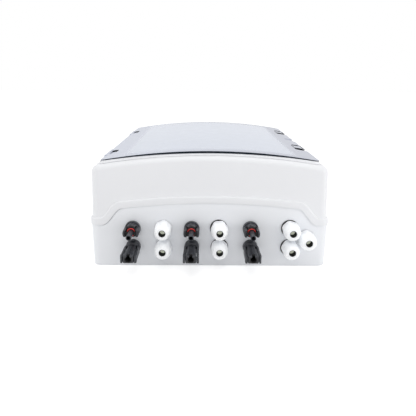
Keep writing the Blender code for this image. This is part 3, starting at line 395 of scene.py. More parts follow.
def surface(name, colour, roughness, vary=0.03, grain=2600, relief=0.06, metallic=0.0, stretch=None, **sockets):
    """A Principled material with slow clouds in its colour and gloss, and a fine grain on its surface."""
    made = bpy.data.materials.new(name)
    made.use_nodes = True
    nodes, links = made.node_tree.nodes, made.node_tree.links
    shader = nodes["Principled BSDF"]
    shader.inputs["Metallic"].default_value = metallic
    for socket, value in sockets.items():
        shader.inputs[socket.replace("_", " ")].default_value = value
    vector = nodes.new("ShaderNodeTexCoord").outputs["Object"]
    if stretch:
        mapping = nodes.new("ShaderNodeMapping")
        mapping.inputs["Scale"].default_value = stretch
        links.new(vector, mapping.inputs["Vector"])
        vector = mapping.outputs["Vector"]

    def noise(scale, detail):
        node = nodes.new("ShaderNodeTexNoise")
        node.inputs["Scale"].default_value = scale
        node.inputs["Detail"].default_value = detail
        links.new(vector, node.inputs["Vector"])
        return node.outputs["Fac"]

    clouds = noise(23, 4)
    tint = nodes.new("ShaderNodeMix")
    tint.data_type = "RGBA"
    tint.inputs["A"].default_value = (*(part * (1 - vary) for part in colour), 1)
    tint.inputs["B"].default_value = (*(part * (1 + vary) for part in colour), 1)
    links.new(clouds, tint.inputs["Factor"])
    links.new(tint.outputs["Result"], shader.inputs["Base Color"])
    gloss = nodes.new("ShaderNodeMapRange")
    gloss.inputs["From Min"].default_value = 0.3
    gloss.inputs["From Max"].default_value = 0.7
    gloss.inputs["To Min"].default_value = roughness * 0.9
    gloss.inputs["To Max"].default_value = roughness * 1.1
    links.new(noise(61, 3), gloss.inputs["Value"])
    links.new(gloss.outputs["Result"], shader.inputs["Roughness"])
    bump = nodes.new("ShaderNodeBump")
    bump.inputs["Strength"].default_value = relief
    bump.inputs["Distance"].default_value = 0.1 * MM
    links.new(noise(grain, 2), bump.inputs["Height"])
    links.new(bump.outputs["Normal"], shader.inputs["Normal"])
    return made


SHELL = surface("shell_plastic", (0.82, 0.826, 0.848), 0.42, vary=0.012)
TRAY = surface("tray_plastic", (0.846, 0.86, 0.889), 0.42, vary=0.012)
DOOR_FIELD = inset(RECESS_HALF, GAP)


def door_material():
    """Clear milky plastic with a closed rim; the field is paler towards its far end by painted reflection, and
    the rim is paler towards the hinge by painted shade.
    """
    made = surface("door_face", (0.65, 0.705, 0.84), 0.16, vary=0.01, relief=0.0, IOR=1.58)
    nodes, links = made.node_tree.nodes, made.node_tree.links
    split = nodes.new("ShaderNodeSeparateXYZ")
    links.new(nodes.new("ShaderNodeTexCoord").outputs["Object"], split.inputs["Vector"])

    def ramp(value, start, end):
        node = nodes.new("ShaderNodeMapRange")
        node.interpolation_type = "SMOOTHSTEP"
        node.inputs["From Min"].default_value = start
        node.inputs["From Max"].default_value = end
        links.new(value, node.inputs["Value"])
        return node.outputs["Result"]

    def mixed(kind, factor, one, two, blend="MIX"):
        node = nodes.new("ShaderNodeMix")
        node.data_type = kind
        node.blend_type = blend
        links.new(factor, node.inputs["Factor"])
        ends = [socket for socket in node.inputs if socket.enabled and socket.name in "AB"]
        for socket, end in zip(ends, (one, two)):
            if isinstance(end, bpy.types.NodeSocket):
                links.new(end, socket)
            else:
                socket.default_value = end
        return next(socket for socket in node.outputs if socket.enabled)

    rim = nodes.new("ShaderNodeMath")
    rim.operation = "MAXIMUM"
    for index, axis in enumerate("XY"):
        size = nodes.new("ShaderNodeMath")
        size.operation = "ABSOLUTE"
        links.new(split.outputs[axis], size.inputs[0])
        start, end = DOOR_FIELD[index] - 5 * MM, DOOR_FIELD[index] + 5 * MM
        links.new(ramp(size.outputs["Value"], start, end), rim.inputs[index])
    across = ramp(split.outputs["X"], -DOOR_HALF[0], DOOR_HALF[0])
    # Painted shade: the rim's colour darkens from the hinge side to the latch side
    rim_painted_shade = mixed("RGBA", across, (0.54, 0.57, 0.66, 1), (0.45, 0.47, 0.545, 1))
    shader = nodes["Principled BSDF"]
    factor = rim.outputs["Value"]
    colour, roughness = (shader.inputs[name].links[0].from_socket for name in ("Base Color", "Roughness"))
    # Painted reflection: the field's colour is darkened towards the near end, so it reads paler towards the far
    # end
    near = ramp(split.outputs["Y"], DOOR_HALF[1], -DOOR_HALF[1])
    field_with_painted_reflection = mixed("RGBA", near, colour, (0.93, 0.935, 0.93, 1), "MULTIPLY")
    links.new(mixed("RGBA", factor, field_with_painted_reflection, rim_painted_shade), shader.inputs["Base Color"])
    links.new(mixed("FLOAT", factor, roughness, 0.34), shader.inputs["Roughness"])
    links.new(mixed("FLOAT", factor, 0.9, 1.0), shader.inputs["Alpha"])
    return made


DOOR_FACE = door_material()
# Grey of the door's rim, barrels and scoop walls; on the cover round the hinge ears and on the hinge seats it is
# painted shade
DOOR_RIM_AND_SHADE = surface("door_rim_and_painted_shade", (0.53, 0.56, 0.655), 0.34, vary=0.02, relief=0.02, IOR=1.58)
# Near-black of the tinted door's cut edges; in its notches and grooves, in the cover's latch pockets and on the
# hinge notch pads it is painted shade
DOOR_EDGE_AND_SHADE = surface("door_edge_and_painted_shade", (0.006, 0.011, 0.017), 0.45, vary=0.2, relief=0.02, Specular_IOR_Level=0.05)
# Nylon scatters light under its surface; its faint emission is a painted glow that brightens the glands,
# strongest on the disc deep in the bore
GLAND = surface(
    "gland_nylon_and_painted_glow", (0.925, 0.94, 0.965), 0.36, vary=0.012, relief=0.04, Subsurface_Weight=0.5,
    Subsurface_Scale=4 * MM, Subsurface_Radius=(1, 1, 1),
    Emission_Strength=0.1, Emission_Color=(0.92, 0.96, 1, 1),
)
BLACK_PLASTIC = surface("connector_plastic", (0.022, 0.024, 0.031), 0.42, vary=0.15, relief=0.1)
# Black rubber of the seals, washers and sleeves; on the deep faces of the sockets and plugs it is painted shade
BLACK_RUBBER_AND_SHADE = surface("black_rubber_and_painted_shade", (0.012, 0.012, 0.013), 0.7, vary=0.2, relief=0.15)
RED_RUBBER = surface("red_rubber", (0.62, 0.045, 0.04), 0.5, vary=0.06, relief=0.05)
# Painted light: the disc's emission makes it glow pale deep in the dark bore
GLAND_DISC = surface(
    "gland_disc_painted_glow", (0.64, 0.67, 0.56), 0.6, vary=0.04, relief=0.05,
    Emission_Strength=0.5, Emission_Color=(0.64, 0.68, 0.56, 1),
)
DEVICE = surface("device_plastic", (0.74, 0.75, 0.75), 0.45, vary=0.015)
TOGGLE = surface("toggle_plastic", (0.022, 0.022, 0.026), 0.38, vary=0.15)
CARTRIDGE = surface("cartridge_plastic", (0.15, 0.16, 0.17), 0.48, vary=0.05)
GREEN_LENS = surface("green_lens", (0.05, 0.42, 0.10), 0.15, vary=0.06, relief=0.0)
RED_LENS = surface("red_lens", (0.55, 0.03, 0.03), 0.15, vary=0.06, relief=0.0)
ZINC = surface("zinc_plate", (0.60, 0.61, 0.63), 0.34, vary=0.08, grain=300, metallic=1.0, stretch=(6, 60, 60))
BRASS = surface("brass_bar", (0.70, 0.53, 0.24), 0.32, vary=0.08, grain=300, metallic=1.0, stretch=(60, 6, 60))
WIRE_RED = surface("wire_red", (0.45, 0.03, 0.03), 0.4, vary=0.06)
WIRE_BLACK = surface("wire_black", (0.02, 0.02, 0.022), 0.4, vary=0.15)


# Base


FOOT_HALF = inset(BAND_HALF, BASE_INSET + BASE_DRAFT)


def base_lean(z):
    return BASE_DRAFT * z / PARTING_LOW


def wall_y(z):
    """Y of the outer face of the entry wall."""
    return -(FOOT_HALF[1] + base_lean(z))


def make_base():
    rings = []
    for sine, rise in quarter(5):
        rings.append(ring(FOOT_HALF, CORNER, flat(FOOT * rise), -FOOT * (1 - sine)))
    ledge, rounding = sagged(-GAP / 2), 0.2 * MM
    for share in (0.3, 0.6, 0.9):
        rings.append(ring(FOOT_HALF, CORNER, between(flat(FOOT), ledge, share), base_lean))
    for sine, rise in quarter(3):
        rounded = sagged(-GAP / 2 - rounding * (1 - sine))
        rings.append(ring(FOOT_HALF, CORNER, rounded, lambda z, rise=rise: base_lean(z) - rounding * rise))
    tongue = inset(BAND_HALF, BAND_WALL + GAP)
    rings.append(ring(tongue, CORNER, ledge))
    rings.append(ring(tongue, CORNER, parted(TONGUE)))
    inside = inset(FOOT_HALF, WALL)
    inner_corner = CORNER - WALL
    rings.append(ring(inside, inner_corner, parted(TONGUE), base_lean))
    rings.append(ring(inside, inner_corner, flat(2 * FLOOR), base_lean))
    rings.append(ring(inside, inner_corner, flat(FLOOR), -FLOOR / 2))
    base = loft("base", rings)
    holes = []
    for prefix, count, radius in (("pv_socket_", 3, 6.25), ("pv_plug_", 3, 6.25), ("gland_body_", 7, 7.85)):
        for index in range(1, count + 1):
            spot = middle_of(f"{prefix}{index}")
            front, rear = wall_y(0) - WALL, wall_y(0) + 2 * WALL
            holes.append(cylinder((spot.x, front, spot.z), (spot.x, rear, spot.z), radius * MM))
    for x in (-1, 1):
        for y in (-1, 1):
            spot = (x * (BAND_HALF[0] - 27 * MM), y * (BAND_HALF[1] - 19 * MM))
            holes.append(cylinder((*spot, -FLOOR), (*spot, 2 * FLOOR), 3.2 * MM))
    cut(base, *holes)
    pillars = [base]
    for index in range(1, 5):
        spot = middle_of(f"cover_screw_{index}")
        pillars.append(cylinder((spot.x, spot.y, FLOOR), (spot.x, spot.y, 62.7 * MM), 6.5 * MM))
    for node in ("din_rail_lower", "din_rail_upper"):
        low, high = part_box(node)
        for x in (low.x + 10 * MM, high.x - 10 * MM):
            y = (low.y + high.y) / 2
            pillars.append(cylinder((x, y, FLOOR), (x, y, low.z - GAP), 6 * MM))
    low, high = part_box("earth_bar")
    for y in (-24 * MM, 24 * MM):
        x, y = (low.x + high.x) / 2, (low.y + high.y) / 2 + y
        pillars.append(cylinder((x, y, FLOOR), (x, y, low.z - GAP), 5 * MM))
    dress(finish(merged(*pillars), TRAY), "base_shell_finished", ROOT, "shell", "base_shell")


# Cover


TOP_HALF = inset(BAND_HALF, COVER_INSET + COVER_DRAFT)
PLINTH_TOP = crowned(PLINTH_CROWN, EDGE_TAPER)


def seal_groove(depth):
    return crowned(PLINTH_CROWN - depth, EDGE_TAPER)


def cover_rings():
    """From under the panel, over the inner skin, the band, the wall and the plinth, into the recess."""
    tub, tub_corner = inset(RECESS_HALF, -PANEL), RECESS_CORNER + PANEL
    skin = COVER_CROWN - WALL
    rings = [ring(tub, tub_corner, flat(PANEL_TOP - PANEL)), ring(tub, tub_corner, crowned(skin))]
    inside, inner_corner, round_in = inset(TOP_HALF, WALL), CORNER - WALL, 5 * MM
    rings.append(ring(inside, inner_corner, crowned(skin), -round_in))
    rings.append(ring(inside, inner_corner, crowned(skin - round_in)))
    rings.append(ring(inside, inner_corner, parted(WALL_LIFT), COVER_DRAFT))
    rebate = inset(BAND_HALF, BAND_WALL)
    rings.append(ring(rebate, CORNER, parted(WALL_LIFT)))
    rings.append(ring(rebate, CORNER, parted(0)))
    band_corner = CORNER + COVER_INSET
    lip, edge, nook = 0.2 * MM, 1.8 * MM, 0.4 * MM
    for sine, rise in quarter(3):
        rings.append(ring(BAND_HALF, band_corner, parted(lip * rise), -lip * (1 - sine)))
    for sine, rise in quarter(4):
        rings.append(ring(BAND_HALF, band_corner, parted(BAND_HEIGHT - edge * (1 - sine)), -edge * rise))
    for sine, rise in quarter(3):
        root = parted(BAND_HEIGHT + nook * rise)
        rings.append(ring(BAND_HALF, band_corner, root, -COVER_INSET + nook * (1 - sine)))
    foot, top = parted(BAND_HEIGHT + nook), crowned(COVER_CROWN - SHOULDER)
    for share in (0.25, 0.5, 0.75, 1):
        rings.append(ring(TOP_HALF, CORNER, between(foot, top, share), COVER_DRAFT * (1 - share)))
    for sine, rise in quarter(9)[1:]:
        skin = crowned(COVER_CROWN - SHOULDER * (1 - sine), CROWN_LIFT * sine)
        rings.append(ring(TOP_HALF, CORNER, skin, -SHOULDER * rise))
    seam, lean, rounding = 0.25 * MM, 1.6 * MM, 0.4 * MM
    for rise, out in ((0, 0), (seam, 0), (seam, lean)):
        rings.append(ring(DOOR_HALF, DOOR_CORNER, crowned(COVER_CROWN + rise, CROWN_LIFT), out))
    for sine, rise in quarter(3):
        lifted = crowned(PLINTH_CROWN - rounding * (1 - sine), EDGE_TAPER)
        rings.append(ring(DOOR_HALF, DOOR_CORNER, lifted, -rounding * rise))
    outer, outer_corner = inset(RECESS_HALF, -SEAL_MARGIN - SEAL_WIDTH), RECESS_CORNER + SEAL_WIDTH
    inner = inset(RECESS_HALF, -SEAL_MARGIN)
    for half, corner, depth in ((outer, outer_corner, 0), (outer, outer_corner, SEAL_GROOVE)):
        rings.append(ring(half, corner, seal_groove(depth)))
    for depth in (SEAL_GROOVE, 0):
        rings.append(ring(inner, RECESS_CORNER, seal_groove(depth)))
    for sine, rise in quarter(3):
        rings.append(ring(RECESS_HALF, RECESS_CORNER, seal_groove(rounding * rise), rounding * (1 - sine)))
    for sine, rise in quarter(3):
        floor = flat(PANEL_TOP + 2 * rounding * (1 - sine))
        rings.append(ring(RECESS_HALF, RECESS_CORNER, floor, -2 * rounding * rise))
    return rings


def latch_box(slot_y, margin, floor, ceiling):
    """A box round the tab under a latch's lever."""
    x, y = DOOR_HALF[0] - LATCH_TAB_INSET, slot_y + LATCH_LEVER / 2
    half_x, half_y = LATCH_TAB[0] / 2 + margin, LATCH_TAB[1] / 2 + margin
    return block((x - half_x, y - half_y, floor), (x + half_x, y + half_y, ceiling))


TAB_FLOOR = CROWN - DOOR_THICKNESS - arch_drop(DOOR_HALF[0] - LATCH_TAB_INSET) - LATCH_TAB[2]


def hinge_round(half_length, radius):
    """A bar about the hinge axis, as long as the door's edge that turns about it."""
    return cylinder((HINGE.x, -half_length, HINGE.z), (HINGE.x, half_length, HINGE.z), radius, 48)


def seat(left, right, near, far, low=0.5 * MM, high=0.1 * MM):
    """A thin plate on the plinth in a notch of the door, or a cutter that sinks into it."""
    spots = [left + index * (right - left) / 4 for index in range(5)]
    outline = [(x, PLINTH_TOP(x) - low) for x in spots] + [(x, PLINTH_TOP(x) + high) for x in reversed(spots)]
    return extruded(outline, near, far)


def make_cover():
    cover = loft("cover", cover_rings())
    tubes, ears, cuts = [], [], []
    skin = COVER_CROWN - arch_drop(DOOR_HALF[0]) - 1.2 * MM
    for index in range(1, 5):
        spot = middle_of(f"cover_screw_{index}")
        tubes.append(cylinder((spot.x, spot.y, 63 * MM), (spot.x, spot.y, skin), 7.4 * MM))
        cuts.append(cylinder((spot.x, spot.y, 66 * MM), (spot.x, spot.y, CROWN), 5 * MM, 40))
    margin = 2.2 * MM
    for y in LATCH_Y:
        tubes.append(latch_box(y, margin + PANEL, TAB_FLOOR - margin - PANEL, skin))
        cuts.append(latch_box(y, margin, TAB_FLOOR - margin, CROWN))
    hollow = HINGE.z - HINGE_RADIUS - HINGE_CLEARANCE
    for y in HINGE_Y:
        half = HINGE_EAR / 2
        reach = half + GAP + HINGE_BARREL + HINGE_CLEARANCE
        inner = HINGE.x + HINGE_RADIUS + 2 * HINGE_CLEARANCE
        cuts.append(block((-BAND_HALF[0], y - reach, hollow), (inner, y + reach, CROWN)))
        foot = block(
            (HINGE.x - HINGE_RADIUS, y - half, hollow - 1.2 * MM), (HINGE.x + HINGE_RADIUS, y + half, HINGE.z)
        )
        knuckle = cylinder((HINGE.x, y - half, HINGE.z), (HINGE.x, y + half, HINGE.z), HINGE_RADIUS)
        ears.append(join(foot, knuckle))
    for prefix in ("breaker_body_", "surge_base_"):
        for index in (1, 2, 3):
            low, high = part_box(f"{prefix}{index}")
            middle, room = (low.y + high.y) / 2, 0.6 * MM
            low = (low.x - room, middle - NOSE_LENGTH / 2 - room, PANEL_TOP - 2 * PANEL)
            high = (high.x + room, middle + NOSE_LENGTH / 2 + room, PANEL_TOP + PANEL)
            cuts.append(block(low, high, 1.2 * MM, upright_only=True))
    join(cover, *tubes)
    cut(cover, *cuts)
    slot_left, slot_right = DOOR_HALF[0] - LATCH_SLOT[0], DOOR_HALF[0] - 1.5 * MM
    slot_length = LATCH_SLOT[1]
    pockets = [seat(slot_left, slot_right, y - slot_length, y + SLOT_REACH, SLOT_SUNK, WALL) for y in LATCH_Y]
    cut(cover, *pockets)
    cut(cover, hinge_round(DOOR_HALF[1] - DOOR_CORNER / 3, DOOR_THICKNESS / 2 + 0.4 * MM))
    join(cover, *ears)
    finish(cover, SHELL, DOOR_RIM_AND_SHADE, DOOR_EDGE_AND_SHADE)
    middle = HINGE.x + 2 * HINGE_RADIUS

    # Painted shade: faces round the hinge ears take the grey rim colour, and the floors and walls of the latch
    # pockets the near-black edge colour
    def part(face):
        x, y, z = face.center
        if x < middle and min(abs(y - ear) for ear in HINGE_Y) < HINGE_EAR and z > hollow - 0.1 * MM:
            return 1
        in_slot = any(-SLOT_REACH - GAP < slot - y < LATCH_SLOT[1] + GAP for slot in LATCH_Y)
        below = PLINTH_TOP(x) - SLOT_SUNK - GAP < z < PLINTH_TOP(x) - GAP
        sunk = slot_left - GAP < x < slot_right + GAP and below
        return 2 if in_slot and sunk else 0

    split_materials(cover, part)
    dress(cover, "cover_shell_finished", ROOT, "shell", "cover_shell")
    end = HINGE_EAR / 2
    # Painted shade: grey plates on the plinth in the hinge notches, and near-black pads at their far ends
    shade_seats = merged(*[seat(inner, HINGE_NOTCH - DOOR_HALF[0], y - end, y + end - SEAT_DARK) for y in HINGE_Y])
    dress(finish(shade_seats, DOOR_RIM_AND_SHADE), "hinge_seats_painted_shade", ROOT, "shell")
    shade_pads = [seat(inner, HINGE_NOTCH - DOOR_HALF[0], y + end - SEAT_DARK, y + end) for y in HINGE_Y]
    dress(finish(merged(*shade_pads), DOOR_EDGE_AND_SHADE), "notch_pads_painted_shade", ROOT, "black_seal")


def make_door_seal():
    """The rubber loop in the plinth's groove, with a rounded top."""
    outer = inset(RECESS_HALF, -SEAL_MARGIN - SEAL_WIDTH + GAP)
    outer_corner = RECESS_CORNER + SEAL_WIDTH - GAP
    inner = inset(RECESS_HALF, -SEAL_MARGIN - GAP)
    low, high, bead = SEAL_GROOVE - GAP, -0.2 * MM, 1 * MM
    rings = [ring(outer, outer_corner, seal_groove(low)), ring(outer, outer_corner, seal_groove(high + bead))]
    rings.append(ring(outer, outer_corner, seal_groove(high), -bead))
    rings.append(ring(inner, RECESS_CORNER, seal_groove(high), bead))
    rings.append(ring(inner, RECESS_CORNER, seal_groove(high + bead)))
    rings.append(ring(inner, RECESS_CORNER, seal_groove(low)))
    seal = finish(loft("seal", rings, cap="closed"), BLACK_RUBBER_AND_SHADE)
    dress(seal, "door_gasket_finished", ROOT, "black_seal", "door_gasket")


# Door


DOOR_TOP = crowned(CROWN)


def groove(path, width, depth):
    """A cutter that follows (x, y) points along the door's crowned face."""
    bm = bmesh.new()
    loops = []
    for index, (x, y) in enumerate(path):
        before, after = path[max(index - 1, 0)], path[min(index + 1, len(path) - 1)]
        along = Vector((after[0] - before[0], after[1] - before[1])).normalized()
        across = Vector((-along.y, along.x)) * width / 2
        left, right = Vector((x, y)) + across, Vector((x, y)) - across
        loops.append([
            bm.verts.new((side.x, side.y, DOOR_TOP(min(side.x, DOOR_HALF[0])) + rise))
            for side, rise in ((left, -depth), (right, -depth), (right, WALL), (left, WALL))
        ])
    for one, two in zip(loops, loops[1:]):
        for index in range(4):
            after = (index + 1) % 4
            bm.faces.new((one[index], one[after], two[after], two[index]))
    bm.faces.new(loops[0])
    bm.faces.new(loops[-1])
    return mesh_object("groove", bm)


def lever_paths(slot_y):
    """Outlines of a latch's lever: round its corner to the slot, along its back and by the door's edge."""
    edge, depth = DOOR_HALF[0], LATCH_SLOT[0]
    back, side, turn = slot_y + LATCH_LEVER, edge - depth + 1 * MM, LEVER_CORNER
    points = []
    for index in range(7):
        angle = math.pi / 2 * index / 6
        points.append((side + turn * (1 - math.sin(angle)), back - turn * (1 - math.cos(angle))))
    middle, outer = back - 0.5 * MM, edge - 2.4 * MM
    return (
        points + [(side, slot_y - 2 * MM)],
        [(edge - 4 * MM, middle), (side + turn, back), (side + 2 * MM, middle)],
        [(outer, slot_y - 2 * MM), (outer, back - 3 * MM)],
    )


def make_door():
    bottom, top = crowned(CROWN - DOOR_THICKNESS, EDGE_TAPER), DOOR_TOP
    lower, upper = 0.3 * MM, 0.45 * MM

    def lifted(height, rise):
        return lambda x: height(x) + rise

    rings = [ring(inset(DOOR_HALF, 8 * MM), 0.5 * MM, bottom)]
    for sine, rise in quarter(2):
        rings.append(ring(DOOR_HALF, DOOR_CORNER, lifted(bottom, lower * rise), -lower * (1 - sine)))
    for sine, rise in quarter(3):
        rings.append(ring(DOOR_HALF, DOOR_CORNER, lifted(top, -upper * (1 - sine)), -upper * rise))
    rise = 0.3 * MM
    for out, share in ((5, 0), (3, 0.08), (1.4, 0.3), (0, 0.5), (-1.4, 0.7), (-3, 0.92), (-5, 1)):
        rings.append(ring(DOOR_FIELD, RECESS_CORNER, lifted(top, rise * share), out * MM))
    rings.append(ring(inset(DOOR_FIELD, 9 * MM), 0.5 * MM, lifted(top, rise)))
    door = loft("door", rings, cap="arch")
    edge = DOOR_HALF[0]
    tabs = [latch_box(y, 0, TAB_FLOOR, TAB_FLOOR + LATCH_TAB[2] + DOOR_THICKNESS / 2) for y in LATCH_Y]
    cuts = []
    for y in HINGE_Y:
        half = HINGE_EAR / 2 + GAP
        cuts.append(block((-edge - WALL, y - half, 0), (-edge + HINGE_NOTCH, y + half, CROWN + WALL), 2 * MM))
    for y in LATCH_Y:
        depth, length = LATCH_SLOT
        cuts.append(block((edge - depth, y - length, 0), (edge + depth, y, CROWN + WALL), 4 * MM, 5))
    sides, backs, outers = zip(*[lever_paths(y) for y in LATCH_Y])
    levers = [groove(path, *LEVER_SIDE) for path in sides]
    depth, length = SCOOP
    middle = sum(LATCH_Y) / 2
    spots = [edge - depth + index * (depth + 2 * MM) / 6 for index in range(7)]
    outline = [(x, DOOR_TOP(min(x, edge)) - SCOOP_SUNK) for x in spots]
    outline += [(x, CROWN + WALL) for x in reversed(spots)]
    scoop = extruded(outline, middle - length / 2, middle + length / 2)
    barrels = []
    for y in HINGE_Y:
        for side in (-1, 1):
            start, end = (y + side * (HINGE_EAR / 2 + GAP + reach) for reach in (0, HINGE_BARREL))
            barrels.append(cylinder((HINGE.x, start, HINGE.z), (HINGE.x, end, HINGE.z), HINGE_RADIUS))
    half, tall = DOOR_HALF[1] + WALL, DOOR_THICKNESS
    sharp = block((-edge - WALL, -half, HINGE.z - tall), (HINGE.x, half, HINGE.z + tall))
    join(door, *tabs)
    cut(door, *cuts)
    cut(door, cut(sharp, hinge_round(2 * half, DOOR_THICKNESS / 2)))
    cut(door, scoop, *levers)
    cut(door, *[groove(path, *LEVER_BACK) for path in backs])
    cut(door, *[groove(path, *LEVER_EDGE) for path in outers])
    join(door, *barrels)
    finish(door, DOOR_FACE, DOOR_RIM_AND_SHADE, DOOR_EDGE_AND_SHADE)

    # Upright faces take the near-black edge colour: the tint of the door's cut edges, and painted shade in its
    # notches, slots and lever grooves
    def part(face):
        spot = face.center
        barrel = spot.x < HINGE.x + HINGE_RADIUS and min(abs(spot.y - y) for y in HINGE_Y) < HINGE_EAR
        in_scoop = edge - depth - GAP < spot.x < edge - GAP and abs(spot.y - middle) < length
        deep = 0 < DOOR_TOP(spot.x) - SCOOP_SUNK - GAP / 2 - spot.z and face.normal.z > 0
        upright = abs(face.normal.z) < 0.6 or deep
        if barrel or in_scoop and upright:
            return 1
        return 2 if upright else 0

    split_materials(door, part)
    dress(door, "window_door_finished", "door", "door", "window_door")


# Cable entries, drawn with +Z out of the wall and turned to face -Y when placed


FACE_OUT = Matrix.Rotation(math.pi / 2, 4, "X")
PLUG_RISE = 0.8 * MM  # a plug's housing stands this much above the middle of its thread
# Washers that show beside their gland: how far each is squeezed out, and where it has crept
WASHERS = {3: (1, (-0.8, 0.5)), 4: (1, (0.3, 0.4)), 5: (1, (-0.8, 0.5)), 6: (1, (-0.9, 0))}
GLAND_TURNS = (20, 50, 5, 80, 44, 0, 26)  # how each gland's flats happen to stand


def place(pattern, name, spot, body, slot, *stands_for, turn=0.0, size=(1, 1, 1)):
    """A copy of a finished pattern that shares its mesh, at an entry's spot and turned about its axis."""
    copy = bpy.data.objects.new(name, pattern.data)
    turned_out = FACE_OUT @ Matrix.Rotation(math.radians(turn), 4, "Z") @ Matrix.Diagonal((*size, 1))
    copy.matrix_world = Matrix.Translation(spot) @ turned_out
    bpy.context.scene.collection.objects.link(copy)
    for modifier in pattern.modifiers:
        soften(copy, modifier.width, modifier.segments)
    return dress(copy, name, body, slot, *stands_for)


def drop(*patterns):
    for pattern in patterns:
        bpy.data.objects.remove(pattern)


def entry_spot(node):
    spot = middle_of(node)
    return Vector((spot.x, wall_y(spot.z), spot.z))


def gland_patterns():
    """Body, domed nut, wall washer, sleeve and disc of a cable gland."""
    flats = 20
    flange = hexagon(1.3, 5.5, flats)
    common(flange, turned([(0, 1.3), (10.2, 1.3), (10.7, 1.9), (10.7, 4.9), (10.2, 5.5), (0, 5.5)], 72))
    locknut = hexagon(-8.5, -4, 19)
    barrel = turned([
        (4.9, -10.5), (7.3, -10.5), (7.5, -10), (7.5, 2), (6.8, 2), (6.8, 18.4), (6.2, 19), (4.9, 19),
    ])
    bore = turned([(0, -12), (4.9, -12), (4.9, 8), (0, 8)])
    body = merged(cut(merged(flange, locknut), bore), barrel)
    dome = [(0, 5.8), (10.3, 5.8), (10.7, 6.4), (10.7, 11)]
    for index in range(1, 13):
        angle = math.pi / 2 * index / 12
        dome.append((6.1 + 4.6 * math.cos(angle) ** 0.85, 11 + 14.6 * math.sin(angle)))
    dome += [(5.6, 25.95), (5.0, 26), (0, 26)]
    nut = common(hexagon(5.8, 26, flats), turned(dome, 72))
    throat = [
        (0, 27), (4.8, 27), (4.75, 26), (4.45, 25.7), (4.3, 25.2), (4.3, 23.6), (7.1, 20), (7.1, 5), (0, 5),
    ]
    cut(nut, turned(throat))
    washer = turned([(7.4, 0.05), (10.7, 0.05), (10.9, 0.4), (10.9, 0.95), (10.7, 1.25), (7.4, 1.25)])
    sleeve = turned([(3.6, 9), (4.7, 9), (4.7, 22.4), (4.25, 23.2), (4.2, 24.6), (3.9, 25), (3.6, 24.6)])
    disc = turned([(0, 14.4), (3.1, 14.3), (3.55, 14), (3.55, 12), (0, 12)])
    return (
        finish(body, GLAND),
        finish(nut, GLAND),
        finish(washer, BLACK_RUBBER_AND_SHADE),
        finish(sleeve, BLACK_RUBBER_AND_SHADE),
        finish(disc, GLAND_DISC),
    )


def make_glands():
    body, nut, washer, sleeve, disc = gland_patterns()
    for index in range(1, 8):
        spot, turn = entry_spot(f"gland_body_{index}"), GLAND_TURNS[index - 1]
        name = f"gland_body_{index}"
        place(body, f"gland_body_finished_{index}", spot, ROOT, "gland_white", name, turn=turn)
        name = f"gland_nut_{index}"
        place(nut, f"gland_nut_finished_{index}", spot, name, "gland_white", name, turn=turn)
        squeeze, shift = WASHERS.get(index, (0.9, (0, 0)))
        moved = spot + Vector((shift[0] * MM, 0, shift[1] * MM))
        place(washer, f"gland_washer_{index}", moved, ROOT, "black_seal", size=(squeeze, squeeze, 1))
        place(sleeve, f"gland_sleeve_{index}", spot, ROOT, "black_seal")
        place(disc, f"gland_disc_painted_glow_{index}", spot, ROOT, "gland_white")
    drop(body, nut, washer, sleeve, disc)


def connector_end():
    """The threaded barrel and locknut inside the wall."""
    barrel = turned([(0, -3.5), (2.7, -3.5), (2.7, -10.5), (5.7, -10.5), (5.9, -10), (5.9, 3), (0, 3)])
    return [barrel, hexagon(-8.5, -4, 17)]


def wedges(turns, inner, outer, width, low, high):
    """Blocks that stand out from the axis at the angles given in degrees."""
    made = []
    for turn in turns:
        wedge = block((inner * MM, -width / 2 * MM, low * MM), (outer * MM, width / 2 * MM, high * MM))
        wedge.data.transform(Matrix.Rotation(math.radians(turn), 4, "Z"))
        made.append(wedge)
    return made


def socket_patterns():
    """Body of a panel socket with its contact tube and side guards, and the red seal round the tube."""
    collar = turned([(0, 0.5), (9.5, 0.5), (9.8, 0.8), (9.8, 5.5), (9.3, 6), (0, 6)], 64)
    body = turned([
        (0, 5), (8.4, 5), (8.4, 18.1), (8, 18.5), (6.4, 18.5), (6.2, 18.3), (6.2, 17.6), (0, 17.6),
    ], 64)
    cut(body, *wedges((40, 140), 5.8, 12, 3.8, 11, 20))
    cut(body, block((-12 * MM, -12 * MM, 7 * MM), (12 * MM, -4.2 * MM, 20 * MM)))
    guards = turned([(7.2, 5), (9.6, 5), (9.6, 24.1), (9.3, 24.5), (7.5, 24.5), (7.2, 24.1)], 64)
    common(guards, block((-12 * MM, -4.2 * MM, 0), (12 * MM, 4.2 * MM, 40 * MM)))
    # Dark blocks beside the tube: painted shade that hides the lower sides of the red seal
    cheeks = [
        block((low * MM, -4 * MM, 16 * MM), (high * MM, 1 * MM, 21.4 * MM))
        for low, high in ((-7.3, -3.4), (3.4, 7.3))
    ]
    tube = turned([
        (0, 22), (2.3, 22), (2.3, 41.4), (2.5, 41.9), (2.8, 42), (3.05, 41.8), (3.15, 41.2), (3.2, 38),
        (3.2, 17), (0, 17),
    ])
    pieces = [*connector_end(), collar, body, guards, *wedges((100,), 7.6, 8.95, 2.4, 8, 15.5), *cheeks, tube]
    socket = finish(merged(*pieces), BLACK_PLASTIC, BLACK_RUBBER_AND_SHADE)

    # Painted shade: faces deep in the socket, round the tube, in its slots and on the cheeks, take the darker
    # rubber black
    def in_shade(face):
        radius, depth = math.hypot(face.center.x, face.center.y), face.center.z
        return int(10.5 * MM < depth < 22 * MM and 3.3 * MM < radius < 8.2 * MM)

    split_materials(socket, in_shade)
    profile = []
    for index in range(16):
        angle = 2 * math.pi * index / 16
        profile.append((4.6 + 0.7 * math.cos(angle), 18.5 + 0.7 * math.sin(angle)))
    return soften(socket, 0.3 * MM), finish(turned(profile), RED_RUBBER)


